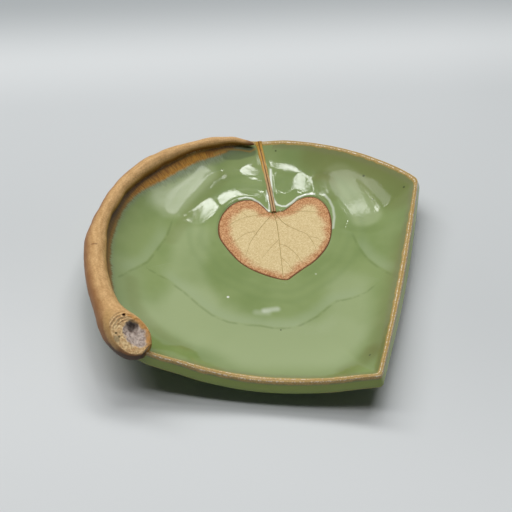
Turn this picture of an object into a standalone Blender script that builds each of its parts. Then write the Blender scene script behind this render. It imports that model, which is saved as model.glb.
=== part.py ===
"""A hand-built stoneware spoon rest.

A slab of clay is pressed into a shallow dish: round at the left and back, cut nearly straight at the
right and the front. A leaf lies in a recess in the floor, its stem runs back over the rim, and a rolled
coil, shaped like a twig with a sawn end, saddles the rim at the left and back.

Metres, +Z up. The origin is the middle of the flat foot, on the table. +X points at the cut edge, and
+Y at the back, where the stem crosses the rim.
"""
import math

import bmesh
import bpy
from mathutils import Matrix, Vector

MM = 0.001

# Dish, seen from above: the rim's crest follows an ellipse, cut by two edges of slight curve
ROUND_HALF_WIDTH = 75.1 * MM
ROUND_HALF_DEPTH = 71.9 * MM
ROUND_MIDDLE_X = 1.7 * MM
ROUND_MIDDLE_Y = -2.6 * MM
CUT_EDGE_DISTANCE = 50.3 * MM
CUT_EDGE_RADIUS = 1280 * MM
CUT_EDGE_DEGREES = 0.0
FRONT_EDGE_DISTANCE = 62.7 * MM
FRONT_EDGE_RADIUS = 365 * MM
FRONT_EDGE_DEGREES = -82.6
CORNER_POWER = 110

# Dish, in section
FLOOR_THICKNESS = 6.0 * MM
RIM_HEIGHT = 16.3 * MM
RIM_ROUNDING = 1.3 * MM
EDGE_FACE_DROP = 5.3 * MM
EDGE_FACE_LEAN = 2.3 * MM
FLOOR_FLAT_SHARE = 0.54
FOOT_SHARE = 0.58
WALL_POWER = 2.2
UNDER_POWER = 1.9
# Degrees round the dish from the cut edge's middle, and the crest's share of RIM_HEIGHT there
RIM_HEIGHT_SHARES = (
    (-46, 1.05), (0, 0.84), (45, 1.04), (66, 0.94), (95, 0.89), (135, 1.01),
    (190, 1.15), (238, 1.25), (250, 1.08), (258, 0.91), (275, 0.75), (296, 0.83),
)

# Fit of one piece in another, and how far a cut runs on past what it cuts
CLEARANCE = 0.3 * MM
OVERRUN = 12 * MM
LEAF_LAYER_SHARE = 0.92

# Fineness of the round blanks, and how far their sections crowd towards the corners
TURN_STEPS = 108
CORNER_CROWDING_SHARE = 0.8
MERGE_DISTANCE = 0.005 * MM

# Leaf, with its notch where the stem joins it
LEAF_LENGTH = 48.4 * MM
LEAF_WIDTH = 48.2 * MM
LEAF_THICKNESS = 1.2 * MM
LEAF_SINK = 0.25 * MM
LEAF_NOTCH_X = -8.2 * MM
LEAF_NOTCH_Y = 30.5 * MM
LEAF_DEGREES = -69.9
# Along the leaf from the notch towards the tip as a share of its length, and across as a share of its width
LEAF_OUTLINE_SHARES = (
    (0.0, 0.0), (-0.02, -0.045), (-0.085, -0.08), (-0.155, -0.13), (-0.188, -0.2), (-0.183, -0.285),
    (-0.145, -0.36), (-0.07, -0.43), (0.02, -0.48), (0.135, -0.51), (0.255, -0.508), (0.37, -0.468),
    (0.475, -0.42), (0.575, -0.36), (0.66, -0.28), (0.735, -0.18), (0.79, -0.08), (0.812, 0.0),
    (0.77, 0.065), (0.705, 0.155), (0.64, 0.25), (0.55, 0.34), (0.45, 0.41), (0.34, 0.455),
    (0.22, 0.482), (0.1, 0.492), (0.0, 0.482), (-0.08, 0.452), (-0.14, 0.4), (-0.16, 0.33),
    (-0.145, 0.255), (-0.105, 0.195), (-0.055, 0.14), (-0.015, 0.085), (-0.012, 0.04),
)

# Stem
STEM_RADIUS = 1.15 * MM
STEM_RISE = 0.25 * MM
STEM_RIM_SINK = 0.3 * MM
STEM_TIP_SHARE = 0.62
STEM_RIM_DEGREES = 109.3
STEM_BOW = 0.8 * MM
STEM_OVER_RIM = 1.3 * MM
STEM_OVER_DROP = 1.5 * MM

# Twig
TWIG_RADIUS = 4.6 * MM
TWIG_LIFT_SHARE = 0.62
TWIG_START_DEGREES = 111.6
TWIG_END_DEGREES = 222.5
# Degrees round the dish, radius as a share of TWIG_RADIUS, and how far inside the crest, in the same shares
TWIG_SHARES = (
    (111, 0.24, 0.62), (119, 0.4, 0.15), (126, 0.47, 0.05), (133, 0.45, -0.08), (140, 0.52, -0.08),
    (148, 0.62, -0.08), (157, 0.6, -0.04), (167, 0.66, 0.06), (177, 0.69, 0.28), (187, 0.79, 0.37),
    (196, 0.92, 0.44), (205, 0.98, 0.42), (215, 1.0, 0.24), (226, 1.08, -0.16),
)

# Knot: the thick sawn end of the twig
KNOT_LENGTH = 25.2 * MM
KNOT_RADIUS = 7.5 * MM
KNOT_TURN_DEGREES = 19
KNOT_DIP = 3.4 * MM
KNOT_FACE_TILT_DEGREES = 24
KNOT_FACE_RISE = 3.6 * MM
KNOT_EDGE_ROUNDING = 0.9 * MM
# Along the knot as a share of its length, and its radius as a share of KNOT_RADIUS
KNOT_SHARES = (
    (0.0, 0.66), (0.15, 0.72), (0.32, 0.84), (0.5, 0.96), (0.68, 1.0), (0.84, 0.9), (0.94, 0.67), (1.0, 0.42),
)

# Hollow in the knot's face, and the core in it
HOLLOW_LENGTH = 13.0 * MM
HOLLOW_WIDTH = 9.4 * MM
HOLLOW_DEPTH = 3.6 * MM
HOLLOW_ALONG_SHARE = 0.74
HOLLOW_ASIDE = 0.8 * MM
CORE_TOP_SHARE = 0.42


def clear_scene():
    for item in list(bpy.data.objects):
        bpy.data.objects.remove(item, do_unlink=True)


def new_collection(name):
    group = bpy.data.collections.new(name)
    bpy.context.scene.collection.children.link(group)
    return group


def clay_material(name, color, roughness):
    material = bpy.data.materials.new(name)
    material.use_nodes = True
    shader = material.node_tree.nodes["Principled BSDF"]
    shader.inputs["Base Color"].default_value = (*color, 1.0)
    shader.inputs["Roughness"].default_value = roughness
    shader.inputs["Metallic"].default_value = 0.0
    material.diffuse_color = (*color, 1.0)
    return material


def smooth_value(table, place, column, turn=None):
    """A smooth curve through a table's values, closed round a full turn where turn is given."""
    rows = [(row[0], row[column]) for row in table]
    if turn:
        place = (place - rows[0][0]) % turn + rows[0][0]
        rows = [(rows[-1][0] - turn, rows[-1][1])] + rows + [(a + turn, b) for a, b in rows[:2]]
    else:
        place = min(max(place, rows[0][0]), rows[-1][0])
        rows = [rows[0]] + rows + [rows[-1]]
    last = len(rows) - 3
    index = next(i for i in range(1, last + 1) if place <= rows[i + 1][0] or i == last)
    before, low, high, after = rows[index - 1:index + 3]
    span = high[0] - low[0]
    slope_low = (high[1] - before[1]) / (high[0] - before[0])
    slope_high = (after[1] - low[1]) / (after[0] - low[0])
    t = (place - low[0]) / span
    return ((2 * t**3 - 3 * t**2 + 1) * low[1] + (t**3 - 2 * t**2 + t) * span * slope_low
            + (3 * t**2 - 2 * t**3) * high[1] + (t**3 - t**2) * span * slope_high)


def reach(angle, middle_x, middle_y, half_width, half_depth):
    """Distance from the origin to an ellipse, in the direction of angle."""
    ray_x = math.cos(angle) / half_width
    ray_y = math.sin(angle) / half_depth
    off_x = middle_x / half_width
    off_y = middle_y / half_depth
    square = ray_x**2 + ray_y**2
    along = ray_x * off_x + ray_y * off_y
    return (along + math.sqrt(along**2 - square * (off_x**2 + off_y**2 - 1))) / square


def reach_of_edge(angle, distance, radius, degrees):
    """Distance from the origin to a wide arc whose furthest point lies at distance, towards degrees."""
    normal = math.radians(degrees)
    back = distance - radius
    return reach(angle, back * math.cos(normal), back * math.sin(normal), radius, radius)


def edge_reaches(angle):
    return (
        reach(angle, ROUND_MIDDLE_X, ROUND_MIDDLE_Y, ROUND_HALF_WIDTH, ROUND_HALF_DEPTH),
        reach_of_edge(angle, CUT_EDGE_DISTANCE, CUT_EDGE_RADIUS, CUT_EDGE_DEGREES),
        reach_of_edge(angle, FRONT_EDGE_DISTANCE, FRONT_EDGE_RADIUS, FRONT_EDGE_DEGREES),
    )


def crest_reach(angle):
    """Distance from the origin to the rim's crest: the least of the three edges, with its corners eased."""
    edges = edge_reaches(angle)
    least = min(edges)
    return least * sum((least / edge) ** CORNER_POWER for edge in edges) ** (-1 / CORNER_POWER)


def crest_height(angle):
    return RIM_HEIGHT * smooth_value(RIM_HEIGHT_SHARES, math.degrees(angle), 1, turn=360)


def wall_lift(share):
    """How far up the wall a place lies, from 0 on the flat floor to 1 at the crest."""
    return min(max((share - FLOOR_FLAT_SHARE) / (1 - FLOOR_FLAT_SHARE), 0), 1) ** WALL_POWER


def dish_top(x, y):
    """Height of the dish's upper surface at a place."""
    angle = math.atan2(y, x)
    share = math.hypot(x, y) / crest_reach(angle)
    return FLOOR_THICKNESS + (crest_height(angle) - FLOOR_THICKNESS) * wall_lift(share)


def nearest_edge(angle):
    edges = edge_reaches(angle)
    return edges.index(min(edges))


def corner_angles():
    """The directions of the dish's corners, where another edge becomes the nearest."""
    found = []
    steps = 720
    for step in range(steps):
        low = math.tau * step / steps
        high = math.tau * (step + 1) / steps
        first = nearest_edge(low)
        second = nearest_edge(high)
        if first == second:
            continue
        for _ in range(30):
            middle = (low + high) / 2
            edges = edge_reaches(middle)
            if edges[first] < edges[second]:
                low = middle
            else:
                high = middle
        found.append((low + high) / 2)
    return found


def rim_angles():
    """One direction for each step of a turned blank, crowded together near the corners."""
    corners = corner_angles()
    spans = [(after - before) % math.tau for before, after in zip(corners, corners[1:] + corners[:1])]
    evened = [math.sqrt(span) for span in spans]
    counts = [round(TURN_STEPS * value / sum(evened)) for value in evened]
    counts[0] += TURN_STEPS - sum(counts)
    angles = []
    for start, span, count in zip(corners, spans, counts):
        for step in range(count):
            t = step / count
            angles.append(start + span * (t - CORNER_CROWDING_SHARE * math.sin(math.tau * t) / math.tau))
    return angles


def add_mesh_object(name, mesh, collection, material=None):
    item = bpy.data.objects.new(name, mesh)
    if material:
        mesh.materials.clear()
        mesh.materials.append(material)
    collection.objects.link(item)
    return item


def as_cutter(item):
    item.display_type = 'WIRE'
    item.hide_render = True
    return item


def applied(item, name, collection, material=None):
    """A plain mesh object with the modifiers or the curve of item made real, and item removed."""
    bpy.context.view_layer.update()
    mesh = bpy.data.meshes.new_from_object(item.evaluated_get(bpy.context.evaluated_depsgraph_get()))
    mesh.name = name
    cage = bmesh.new()
    cage.from_mesh(mesh)
    bmesh.ops.remove_doubles(cage, verts=cage.verts, dist=MERGE_DISTANCE)
    cage.to_mesh(mesh)
    cage.free()
    place = item.matrix_world.copy()
    bpy.data.objects.remove(item, do_unlink=True)
    made = add_mesh_object(name, mesh, collection, material)
    made.matrix_world = place
    return made


def smooth(item, degrees):
    item.data.shade_smooth()
    item.data.set_sharp_from_angle(angle=math.radians(degrees))


def boolean(item, cutter, operation):
    modifier = item.modifiers.new(cutter.name, 'BOOLEAN')
    modifier.operation = operation
    modifier.object = cutter
    modifier.solver = 'EXACT'


def bevel(item, width, segments, degrees):
    modifier = item.modifiers.new("rounding", 'BEVEL')
    modifier.width = width
    modifier.segments = segments
    modifier.limit_method = 'ANGLE'
    modifier.angle_limit = math.radians(degrees)


def turned_blank(name, profile, collection, rounding=0):
    """A round body from a half section that runs from the axis on top, out, down and back to the axis."""
    mesh = bpy.data.meshes.new(name)
    mesh.from_pydata([(x, 0, z) for x, z in profile], [(i, i + 1) for i in range(len(profile) - 1)], [])
    item = add_mesh_object(name, mesh, collection)
    screw = item.modifiers.new("turn", 'SCREW')
    screw.steps = TURN_STEPS
    screw.render_steps = TURN_STEPS
    screw.use_merge_vertices = True
    screw.merge_threshold = MERGE_DISTANCE
    if rounding:
        bevel(item, rounding, 3, 45)
    return applied(item, name, collection)


def press(item):
    """Press a round blank to the dish's outline, and lift its wall to the rim's own height all round."""
    angles = rim_angles()
    for vertex in item.data.vertices:
        radius = math.hypot(vertex.co.x, vertex.co.y)
        if radius < MERGE_DISTANCE:
            continue
        turned = math.atan2(vertex.co.y, vertex.co.x) % math.tau
        angle = angles[round(turned / math.tau * TURN_STEPS) % TURN_STEPS]
        share = radius / ROUND_HALF_DEPTH
        far = crest_reach(angle) * min(share, 1) + max(radius - ROUND_HALF_DEPTH, 0)
        lift = (crest_height(angle) - RIM_HEIGHT) * wall_lift(share)
        vertex.co = (far * math.cos(angle), far * math.sin(angle), vertex.co.z + lift)
    return item


def top_profile(rise, last_share, steps):
    """The half section of the dish's upper surface, rise above it, as far out as last_share."""
    shares = [0, FLOOR_FLAT_SHARE / 2]
    shares += [FLOOR_FLAT_SHARE + (last_share - FLOOR_FLAT_SHARE) * step / steps for step in range(steps + 1)]
    return [
        (share * ROUND_HALF_DEPTH, FLOOR_THICKNESS + (RIM_HEIGHT - FLOOR_THICKNESS) * wall_lift(share) + rise)
        for share in shares
    ]


def under_profile(drop, steps):
    """The half section of the dish's underside, from the edge's lower corner in to the foot's middle."""
    outer = ROUND_HALF_DEPTH + EDGE_FACE_LEAN
    height = RIM_HEIGHT - EDGE_FACE_DROP
    points = []
    for step in range(steps + 1):
        share = 1 - (1 - FOOT_SHARE) * step / steps
        lift = ((share - FOOT_SHARE) / (1 - FOOT_SHARE)) ** UNDER_POWER
        points.append((outer * share, height * lift - drop))
    return points + [(0, -drop)]


def slab_blank(name, grown, collection):
    """The dish's blank, or one grown all over by a clearance, to cut the pieces that sit on the dish."""
    top = top_profile(grown, 1, 11)
    under = under_profile(grown, 10)
    top[-1] = (top[-1][0] + grown, top[-1][1])
    under[0] = (under[0][0] + grown, under[0][1])
    return press(turned_blank(name, top + under, collection, RIM_ROUNDING))


def dish_layer(name, low, high, collection):
    """A thin layer that follows the dish's floor and lower wall, from low to high about its surface."""
    top = top_profile(high, LEAF_LAYER_SHARE, 8)
    under = [(x, z + low - high) for x, z in reversed(top)]
    return press(turned_blank(name, top + under, collection))


def closed_curve(points, steps):
    """Points along a smooth closed curve through the given ones."""
    found = []
    count = len(points)
    for i in range(count):
        before, low, high, after = (Vector(points[(i + k) % count]) for k in (-1, 0, 1, 2))
        for step in range(steps):
            t = step / steps
            found.append(0.5 * (2 * low + (high - before) * t
                                + (2 * before - 5 * low + 4 * high - after) * t**2
                                + (3 * low - before - 3 * high + after) * t**3))
    return found


def leaf_outline(grown):
    """The leaf's outline from above, moved out by a clearance where grown is given."""
    axis = math.radians(LEAF_DEGREES)
    along = Vector((math.cos(axis), math.sin(axis)))
    across = Vector((-along.y, along.x))
    notch = Vector((LEAF_NOTCH_X, LEAF_NOTCH_Y))
    shares = LEAF_OUTLINE_SHARES
    corners = [notch + along * (a * LEAF_LENGTH) + across * (b * LEAF_WIDTH) for a, b in shares]
    points = closed_curve(corners, 3)
    count = len(points)
    outline = []
    for i, point in enumerate(points):
        run = (points[(i + 1) % count] - points[i - 1]).normalized()
        outline.append(point + Vector((run.y, -run.x)) * grown)
    return outline


def leaf_prism(name, grown, collection):
    """An upright block with the leaf's outline, tall enough to pass through the dish's layer."""
    curve = bpy.data.curves.new(name, 'CURVE')
    curve.dimensions = '2D'
    curve.fill_mode = 'BOTH'
    curve.extrude = RIM_HEIGHT + OVERRUN
    spline = curve.splines.new('POLY')
    outline = leaf_outline(grown)
    spline.points.add(len(outline) - 1)
    for point, place in zip(spline.points, outline):
        point.co = (place.x, place.y, 0, 1)
    spline.use_cyclic_u = True
    item = bpy.data.objects.new(name, curve)
    collection.objects.link(item)
    return applied(item, name, collection)


def swept_tube(name, places, radii, collection, sides=4):
    """A tube along places, with its own radius at each."""
    curve = bpy.data.curves.new(name, 'CURVE')
    curve.dimensions = '3D'
    curve.bevel_depth = 1.0
    curve.bevel_resolution = sides
    curve.use_fill_caps = True
    spline = curve.splines.new('POLY')
    spline.points.add(len(places) - 1)
    for point, place, radius in zip(spline.points, places, radii):
        point.co = (*place, 1)
        point.radius = radius
    item = bpy.data.objects.new(name, curve)
    collection.objects.link(item)
    return applied(item, name, collection)


def crest_place(angle, inset=0, rise=0):
    far = crest_reach(angle) - inset
    return Vector((far * math.cos(angle), far * math.sin(angle), crest_height(angle) + rise))


def stem_run():
    """Places along the stem's middle, from inside the leaf's notch to just over the rim's crest."""
    notch = Vector((LEAF_NOTCH_X, LEAF_NOTCH_Y))
    angle = math.radians(STEM_RIM_DEGREES)
    crest = crest_place(angle)
    over = crest_place(angle, inset=-STEM_OVER_RIM)
    run = (crest.xy - notch).normalized()
    side = Vector((run.y, -run.x))
    start = notch - run * STEM_RADIUS
    places = []
    radii = []
    steps = 16
    for step in range(steps + 1):
        t = step / steps
        flat = start.lerp(crest.xy, t) + side * (STEM_BOW * math.sin(math.pi * t))
        rise = STEM_RISE - (STEM_RISE + STEM_RIM_SINK) * t
        places.append(Vector((flat.x, flat.y, dish_top(flat.x, flat.y) + rise)))
        radii.append(STEM_RADIUS * (STEM_TIP_SHARE + (1 - STEM_TIP_SHARE) * t))
    places.append(Vector((over.x, over.y, crest.z - STEM_OVER_DROP)))
    radii.append(STEM_RADIUS)
    return places, radii


def twig_place(degrees):
    """A place on the twig's middle, and its radius there."""
    radius = TWIG_RADIUS * smooth_value(TWIG_SHARES, degrees, 1)
    inset = TWIG_RADIUS * smooth_value(TWIG_SHARES, degrees, 2)
    return crest_place(math.radians(degrees), inset, radius * TWIG_LIFT_SHARE), radius


def twig_run():
    steps = 48
    runs = [twig_place(TWIG_START_DEGREES + (TWIG_END_DEGREES - TWIG_START_DEGREES) * step / steps)
            for step in range(steps + 1)]
    return [place for place, _ in runs], [radius for _, radius in runs]


def knot_frame():
    """Where the twig ends, the direction it ends in, and the direction that the knot's tip points in."""
    end, _ = twig_place(TWIG_END_DEGREES)
    before, _ = twig_place(TWIG_END_DEGREES - 1)
    ahead = (end - before).normalized()
    turned = Matrix.Rotation(math.radians(KNOT_TURN_DEGREES), 3, 'Z') @ ahead
    return end, ahead, turned


def knot_place(share):
    """A place on the knot's middle: on from the twig's end, swinging round and dipping a little."""
    end, ahead, turned = knot_frame()
    start = end + ahead * CLEARANCE
    run = ahead.lerp(turned, share) * (KNOT_LENGTH * share)
    return start + run - Vector((0, 0, KNOT_DIP * share**2))


def knot_run():
    steps = 14
    shares = [step / steps for step in range(steps + 1)]
    radii = [KNOT_RADIUS * smooth_value(KNOT_SHARES, share, 1) for share in shares]
    return [knot_place(share) for share in shares], radii


def face_matrix():
    """The knot's sawn face: X along it towards the tip, Z out of it."""
    _, _, turned = knot_frame()
    flat = Vector((turned.x, turned.y, 0)).normalized()
    up = Vector((0, 0, 1))
    tilt = math.radians(KNOT_FACE_TILT_DEGREES)
    normal = flat * math.sin(tilt) + up * math.cos(tilt)
    along = flat * math.cos(tilt) - up * math.sin(tilt)
    side = normal.cross(along)
    place = knot_place(HOLLOW_ALONG_SHARE) + up * KNOT_FACE_RISE
    matrix = Matrix((along, side, normal)).transposed().to_4x4()
    matrix.translation = place + side * HOLLOW_ASIDE
    return matrix


def block(name, size, matrix, collection):
    """A box that stands on the matrix's own XY plane."""
    mesh = bpy.data.meshes.new(name)
    cage = bmesh.new()
    bmesh.ops.create_cube(cage, size=1)
    bmesh.ops.scale(cage, vec=Vector((size, size, size)), verts=cage.verts)
    bmesh.ops.translate(cage, vec=Vector((0, 0, size / 2)), verts=cage.verts)
    cage.to_mesh(mesh)
    cage.free()
    item = add_mesh_object(name, mesh, collection)
    item.matrix_world = matrix
    return item


def ellipsoid(name, half_sizes, matrix, collection):
    mesh = bpy.data.meshes.new(name)
    cage = bmesh.new()
    bmesh.ops.create_uvsphere(cage, u_segments=28, v_segments=16, radius=1)
    bmesh.ops.scale(cage, vec=Vector(half_sizes), verts=cage.verts)
    cage.to_mesh(mesh)
    cage.free()
    item = add_mesh_object(name, mesh, collection)
    item.matrix_world = matrix
    return item


def hollow_half_sizes(inset):
    return (HOLLOW_LENGTH / 2 - inset, HOLLOW_WIDTH / 2 - inset, HOLLOW_DEPTH - inset)


def make_dish_slab(parts, cutters):
    """The slab, with the recess for the leaf and the groove for the stem."""
    slab = slab_blank("dish_slab", 0, parts)
    slab.data.materials.append(clay_material("green_glaze", (0.29, 0.38, 0.17), 0.18))
    depth = LEAF_SINK + LEAF_THICKNESS + CLEARANCE
    recess = dish_layer("leaf_recess", -depth, OVERRUN, cutters)
    boolean(recess, as_cutter(leaf_prism("leaf_recess_outline", CLEARANCE, cutters)), 'INTERSECT')
    boolean(slab, as_cutter(recess), 'DIFFERENCE')
    boolean(slab, stem_tube("stem_groove", CLEARANCE, cutters), 'DIFFERENCE')
    smooth(slab, 40)
    return slab


def make_leaf(parts, cutters):
    """The leaf: a layer that follows the floor, inside the leaf's outline."""
    leaf = dish_layer("leaf", -LEAF_SINK - LEAF_THICKNESS, -LEAF_SINK, parts)
    leaf.data.materials.append(clay_material("bare_clay_leaf", (0.62, 0.46, 0.28), 0.75))
    boolean(leaf, as_cutter(leaf_prism("leaf_outline", 0, cutters)), 'INTERSECT')
    smooth(leaf, 40)
    return leaf


def stem_tube(name, grown, collection):
    places, radii = stem_run()
    return as_cutter(swept_tube(name, places, [radius + grown for radius in radii], collection))


def make_leaf_stem(parts, cutters):
    """The stem: a tapering rib in its groove, cut back to the leaf's notch."""
    places, radii = stem_run()
    stem = swept_tube("leaf_stem", places, radii, parts)
    stem.data.materials.append(clay_material("tan_stem", (0.42, 0.3, 0.12), 0.45))
    boolean(stem, as_cutter(leaf_prism("stem_end", CLEARANCE, cutters)), 'DIFFERENCE')
    smooth(stem, 40)
    return stem


def make_twig_coil(parts, cutters, saddle):
    """The twig: a rolled coil, hollowed underneath to saddle the rim."""
    places, radii = twig_run()
    twig = swept_tube("twig_coil", places, radii, parts, sides=5)
    twig.data.materials.append(clay_material("tan_bark", (0.45, 0.27, 0.12), 0.6))
    boolean(twig, saddle, 'DIFFERENCE')
    boolean(twig, stem_tube("stem_beside_twig", CLEARANCE, cutters), 'DIFFERENCE')
    smooth(twig, 40)
    return twig


def make_twig_knot(parts, cutters, saddle):
    """The knot: the twig's thick end, sawn at a slant, with a hollow in its face."""
    places, radii = knot_run()
    knot = swept_tube("twig_knot", places, radii, parts, sides=7)
    knot.data.materials.append(clay_material("brown_bark", (0.4, 0.24, 0.11), 0.65))
    face = face_matrix()
    boolean(knot, as_cutter(block("knot_saw_cut", KNOT_LENGTH * 2, face, cutters)), 'DIFFERENCE')
    bevel(knot, KNOT_EDGE_ROUNDING, 2, 50)
    boolean(knot, as_cutter(ellipsoid("knot_hollow", hollow_half_sizes(0), face, cutters)), 'DIFFERENCE')
    boolean(knot, saddle, 'DIFFERENCE')
    smooth(knot, 40)
    return knot


def make_knot_core(parts, cutters):
    """The core: the lower part of the hollow's own shape, a clearance smaller all round."""
    face = face_matrix()
    core = ellipsoid("knot_core", hollow_half_sizes(CLEARANCE), face, parts)
    core.data.materials.append(clay_material("grey_pith", (0.4, 0.35, 0.3), 0.8))
    top = face @ Matrix.Translation((0, 0, -HOLLOW_DEPTH * CORE_TOP_SHARE))
    boolean(core, as_cutter(block("core_top", KNOT_LENGTH, top, cutters)), 'DIFFERENCE')
    smooth(core, 40)
    return core


def main():
    clear_scene()
    parts = new_collection("spoon_rest")
    cutters = new_collection("cutters")
    saddle = as_cutter(slab_blank("rim_saddle", CLEARANCE, cutters))
    make_dish_slab(parts, cutters)
    make_leaf(parts, cutters)
    make_leaf_stem(parts, cutters)
    make_twig_coil(parts, cutters, saddle)
    make_twig_knot(parts, cutters, saddle)
    make_knot_core(parts, cutters)


main()
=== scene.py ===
# %% [markdown]
# # A hand-built spoon rest
#
# The object is a slab of stoneware, pressed into a shallow dish while it was soft. A leaf was pressed
# into the floor, and a coil of clay, rolled and pinched to look like a twig, was joined on along the rim.
# Then the dish was glazed green and fired.
#
# The solid model, made earlier, has the right sizes but plain surfaces. This lesson dresses it: it loads
# the solids as a fixed frame, then builds a finer skin for each piece and a finish for each skin.

# %% Load the solid model
import math

import bmesh
import bpy
import numpy as np
from mathutils import Matrix, Vector, noise


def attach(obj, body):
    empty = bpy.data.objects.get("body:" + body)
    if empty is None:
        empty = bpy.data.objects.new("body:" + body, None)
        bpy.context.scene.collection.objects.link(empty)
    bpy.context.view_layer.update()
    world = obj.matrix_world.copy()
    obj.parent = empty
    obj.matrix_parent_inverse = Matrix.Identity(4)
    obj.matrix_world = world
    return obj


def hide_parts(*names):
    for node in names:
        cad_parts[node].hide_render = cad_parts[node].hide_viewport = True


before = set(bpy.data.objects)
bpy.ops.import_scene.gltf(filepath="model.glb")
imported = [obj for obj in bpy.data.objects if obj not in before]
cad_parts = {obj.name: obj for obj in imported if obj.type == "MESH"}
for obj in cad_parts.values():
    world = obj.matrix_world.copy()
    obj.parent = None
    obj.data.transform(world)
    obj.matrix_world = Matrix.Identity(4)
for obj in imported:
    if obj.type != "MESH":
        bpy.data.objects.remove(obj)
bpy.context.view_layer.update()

MM = 0.001

# %% [markdown]
# ## The camera
#
# The photograph looks down at the dish from the front, at about 46 degrees, with the cut edge a little
# towards us. A long lens from about half a metre away gives the same mild perspective. The camera could be
# placed by hand in the viewport, but here it is worked out from a turn and a height, which can be changed.

# %% The camera
LOOK_AT = Vector((-11.1, 9.1, 0)) * MM
CAMERA_HEIGHT_DEGREES = 46
CAMERA_TURN_DEGREES = 12.8
CAMERA_DISTANCE = 450 * MM
LENS_LENGTH = 75.94


def direction(turn_degrees, height_degrees):
    """The direction towards a place in the sky: turn 0 is the front, 90 is +X, and 180 is the back."""
    turn, height = math.radians(turn_degrees), math.radians(height_degrees)
    return Vector((math.sin(turn) * math.cos(height), -math.cos(turn) * math.cos(height), math.sin(height)))


def aim(item, towards):
    """Turn an object so that its own -Z, which cameras and lamps look along, points towards a place."""
    item.rotation_euler = (towards - item.location).to_track_quat('-Z', 'Y').to_euler()


lens = bpy.data.cameras.new("camera")
lens.lens = LENS_LENGTH
camera = bpy.data.objects.new("camera", lens)
bpy.context.scene.collection.objects.link(camera)
camera.location = LOOK_AT + direction(CAMERA_TURN_DEGREES, CAMERA_HEIGHT_DEGREES) * CAMERA_DISTANCE
aim(camera, LOOK_AT)
bpy.context.scene.camera = camera
bpy.context.scene.view_settings.view_transform = 'Standard'
print("camera at, mm:", [round(v / MM) for v in camera.location])

# %% [markdown]
# ## The light
#
# The dish's shadow has two soft edges at the front, so there are two wide soft boxes: one nearly overhead,
# and one behind, a third of the way down the sky. A dim grey room fills in.
#
# A glossy glaze shows every lamp as a bright shape, and the shapes in the photograph are much smaller than
# such boxes would make. So the wide boxes are kept out of reflections, and small ones make the bright
# shapes: one above, one behind, and one beside it for the broken ring near the stem. Four dimmer ones to
# the sides make the paler patches on the walls. Each is given by the direction it lies in, its size in
# degrees as the dish sees it, and its brightness, where 1 is a white card's. For the same reason the room
# is brighter where the glaze mirrors it than it is as a light.

# %% The lamps
LAMP_DISTANCE = 1.2
LAMP_RING = (195.5, 63)
LAMP_RIGHT = (147, 65)
LAMPS = (
    # name, direction, width and depth in degrees, brightness, whether the glaze mirrors it
    ("wide_above", (278, 76), 66, 8, 6.85, False),
    ("wide_behind", (205, 59.5), 62, 10, 9.1, False),
    ("narrow_above", (181, 75), 8.5, 5, 15, True),
    ("narrow_behind", (187, 55.8), 3, 5, 15, True),
    ("narrow_ring", LAMP_RING, 2, 6, 15, True),
    ("dim_right", LAMP_RIGHT, 8, 10, 6, True),
    ("dim_outer", (137, 56), 8, 6, 3, True),
    ("dim_left", (225, 64), 10, 11, 2.1, True),
    ("edge_left", (217, 57), 6, 3, 6.5, True),
)


def softbox(name, towards, width_degrees, depth_degrees, brightness, mirrored):
    """A rectangular soft lamp in that direction, aimed at the dish, with its width along X."""
    lamp = bpy.data.lights.new(name, 'AREA')
    lamp.shape = 'RECTANGLE'
    lamp.size = 2 * LAMP_DISTANCE * math.tan(math.radians(width_degrees / 2))
    lamp.size_y = 2 * LAMP_DISTANCE * math.tan(math.radians(depth_degrees / 2))
    lamp.energy = brightness * math.pi * lamp.size * lamp.size_y
    item = bpy.data.objects.new(name, lamp)
    bpy.context.scene.collection.objects.link(item)
    back = direction(*towards)
    side = (Vector((1, 0, 0)) - back * back.x).normalized()
    item.matrix_world = Matrix((side, back.cross(side), back)).transposed().to_4x4()
    item.location = back * LAMP_DISTANCE
    item.visible_glossy = mirrored


for row in LAMPS:
    softbox(*row)

# %% The room round the dish
ROOM_COLOR = (0.93, 0.97, 1.0, 1)
ROOM_LIGHT = 0.035
ROOM_MIRRORED = 0.55
world = bpy.data.worlds.new("room")
bpy.context.scene.world = world
world.use_nodes = True
sky = world.node_tree.nodes["Background"]
sky.inputs["Color"].default_value = ROOM_COLOR
seen = world.node_tree.nodes.new('ShaderNodeLightPath')
level = world.node_tree.nodes.new('ShaderNodeMapRange')
level.inputs['To Min'].default_value = ROOM_LIGHT
level.inputs['To Max'].default_value = ROOM_MIRRORED
world.node_tree.links.new(seen.outputs['Is Glossy Ray'], level.inputs['Value'])
world.node_tree.links.new(level.outputs[0], sky.inputs["Strength"])
print("the room's strength as light:", ROOM_LIGHT, "and where the glaze mirrors it:", ROOM_MIRRORED)

# %% [markdown]
# ## Shader sums
#
# A finish is a small calculation done at each point of a surface. Wiring it up node by node is hard to
# read, so one class wraps a socket and lets it be added, subtracted and multiplied like a number. Any
# other node comes from one method, `node`.

# %% A wire that can be added and multiplied
class Wire:
    """A socket in a finish. A sum on wires adds the Math nodes that work it out."""

    def __init__(self, finish, socket):
        self.finish = finish
        self.socket = socket

    def maths(self, operation, *values):
        return self.finish.node('ShaderNodeMath', {'operation': operation}, dict(enumerate(values)))

    def __add__(self, other):
        return self.maths('ADD', self, other)

    def __sub__(self, other):
        return self.maths('SUBTRACT', self, other)

    def __rsub__(self, other):
        return self.maths('SUBTRACT', other, self)

    def __mul__(self, other):
        return self.maths('MULTIPLY', self, other)

    def __abs__(self):
        return self.maths('ABSOLUTE', self)

    __radd__ = __add__
    __rmul__ = __mul__


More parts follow.
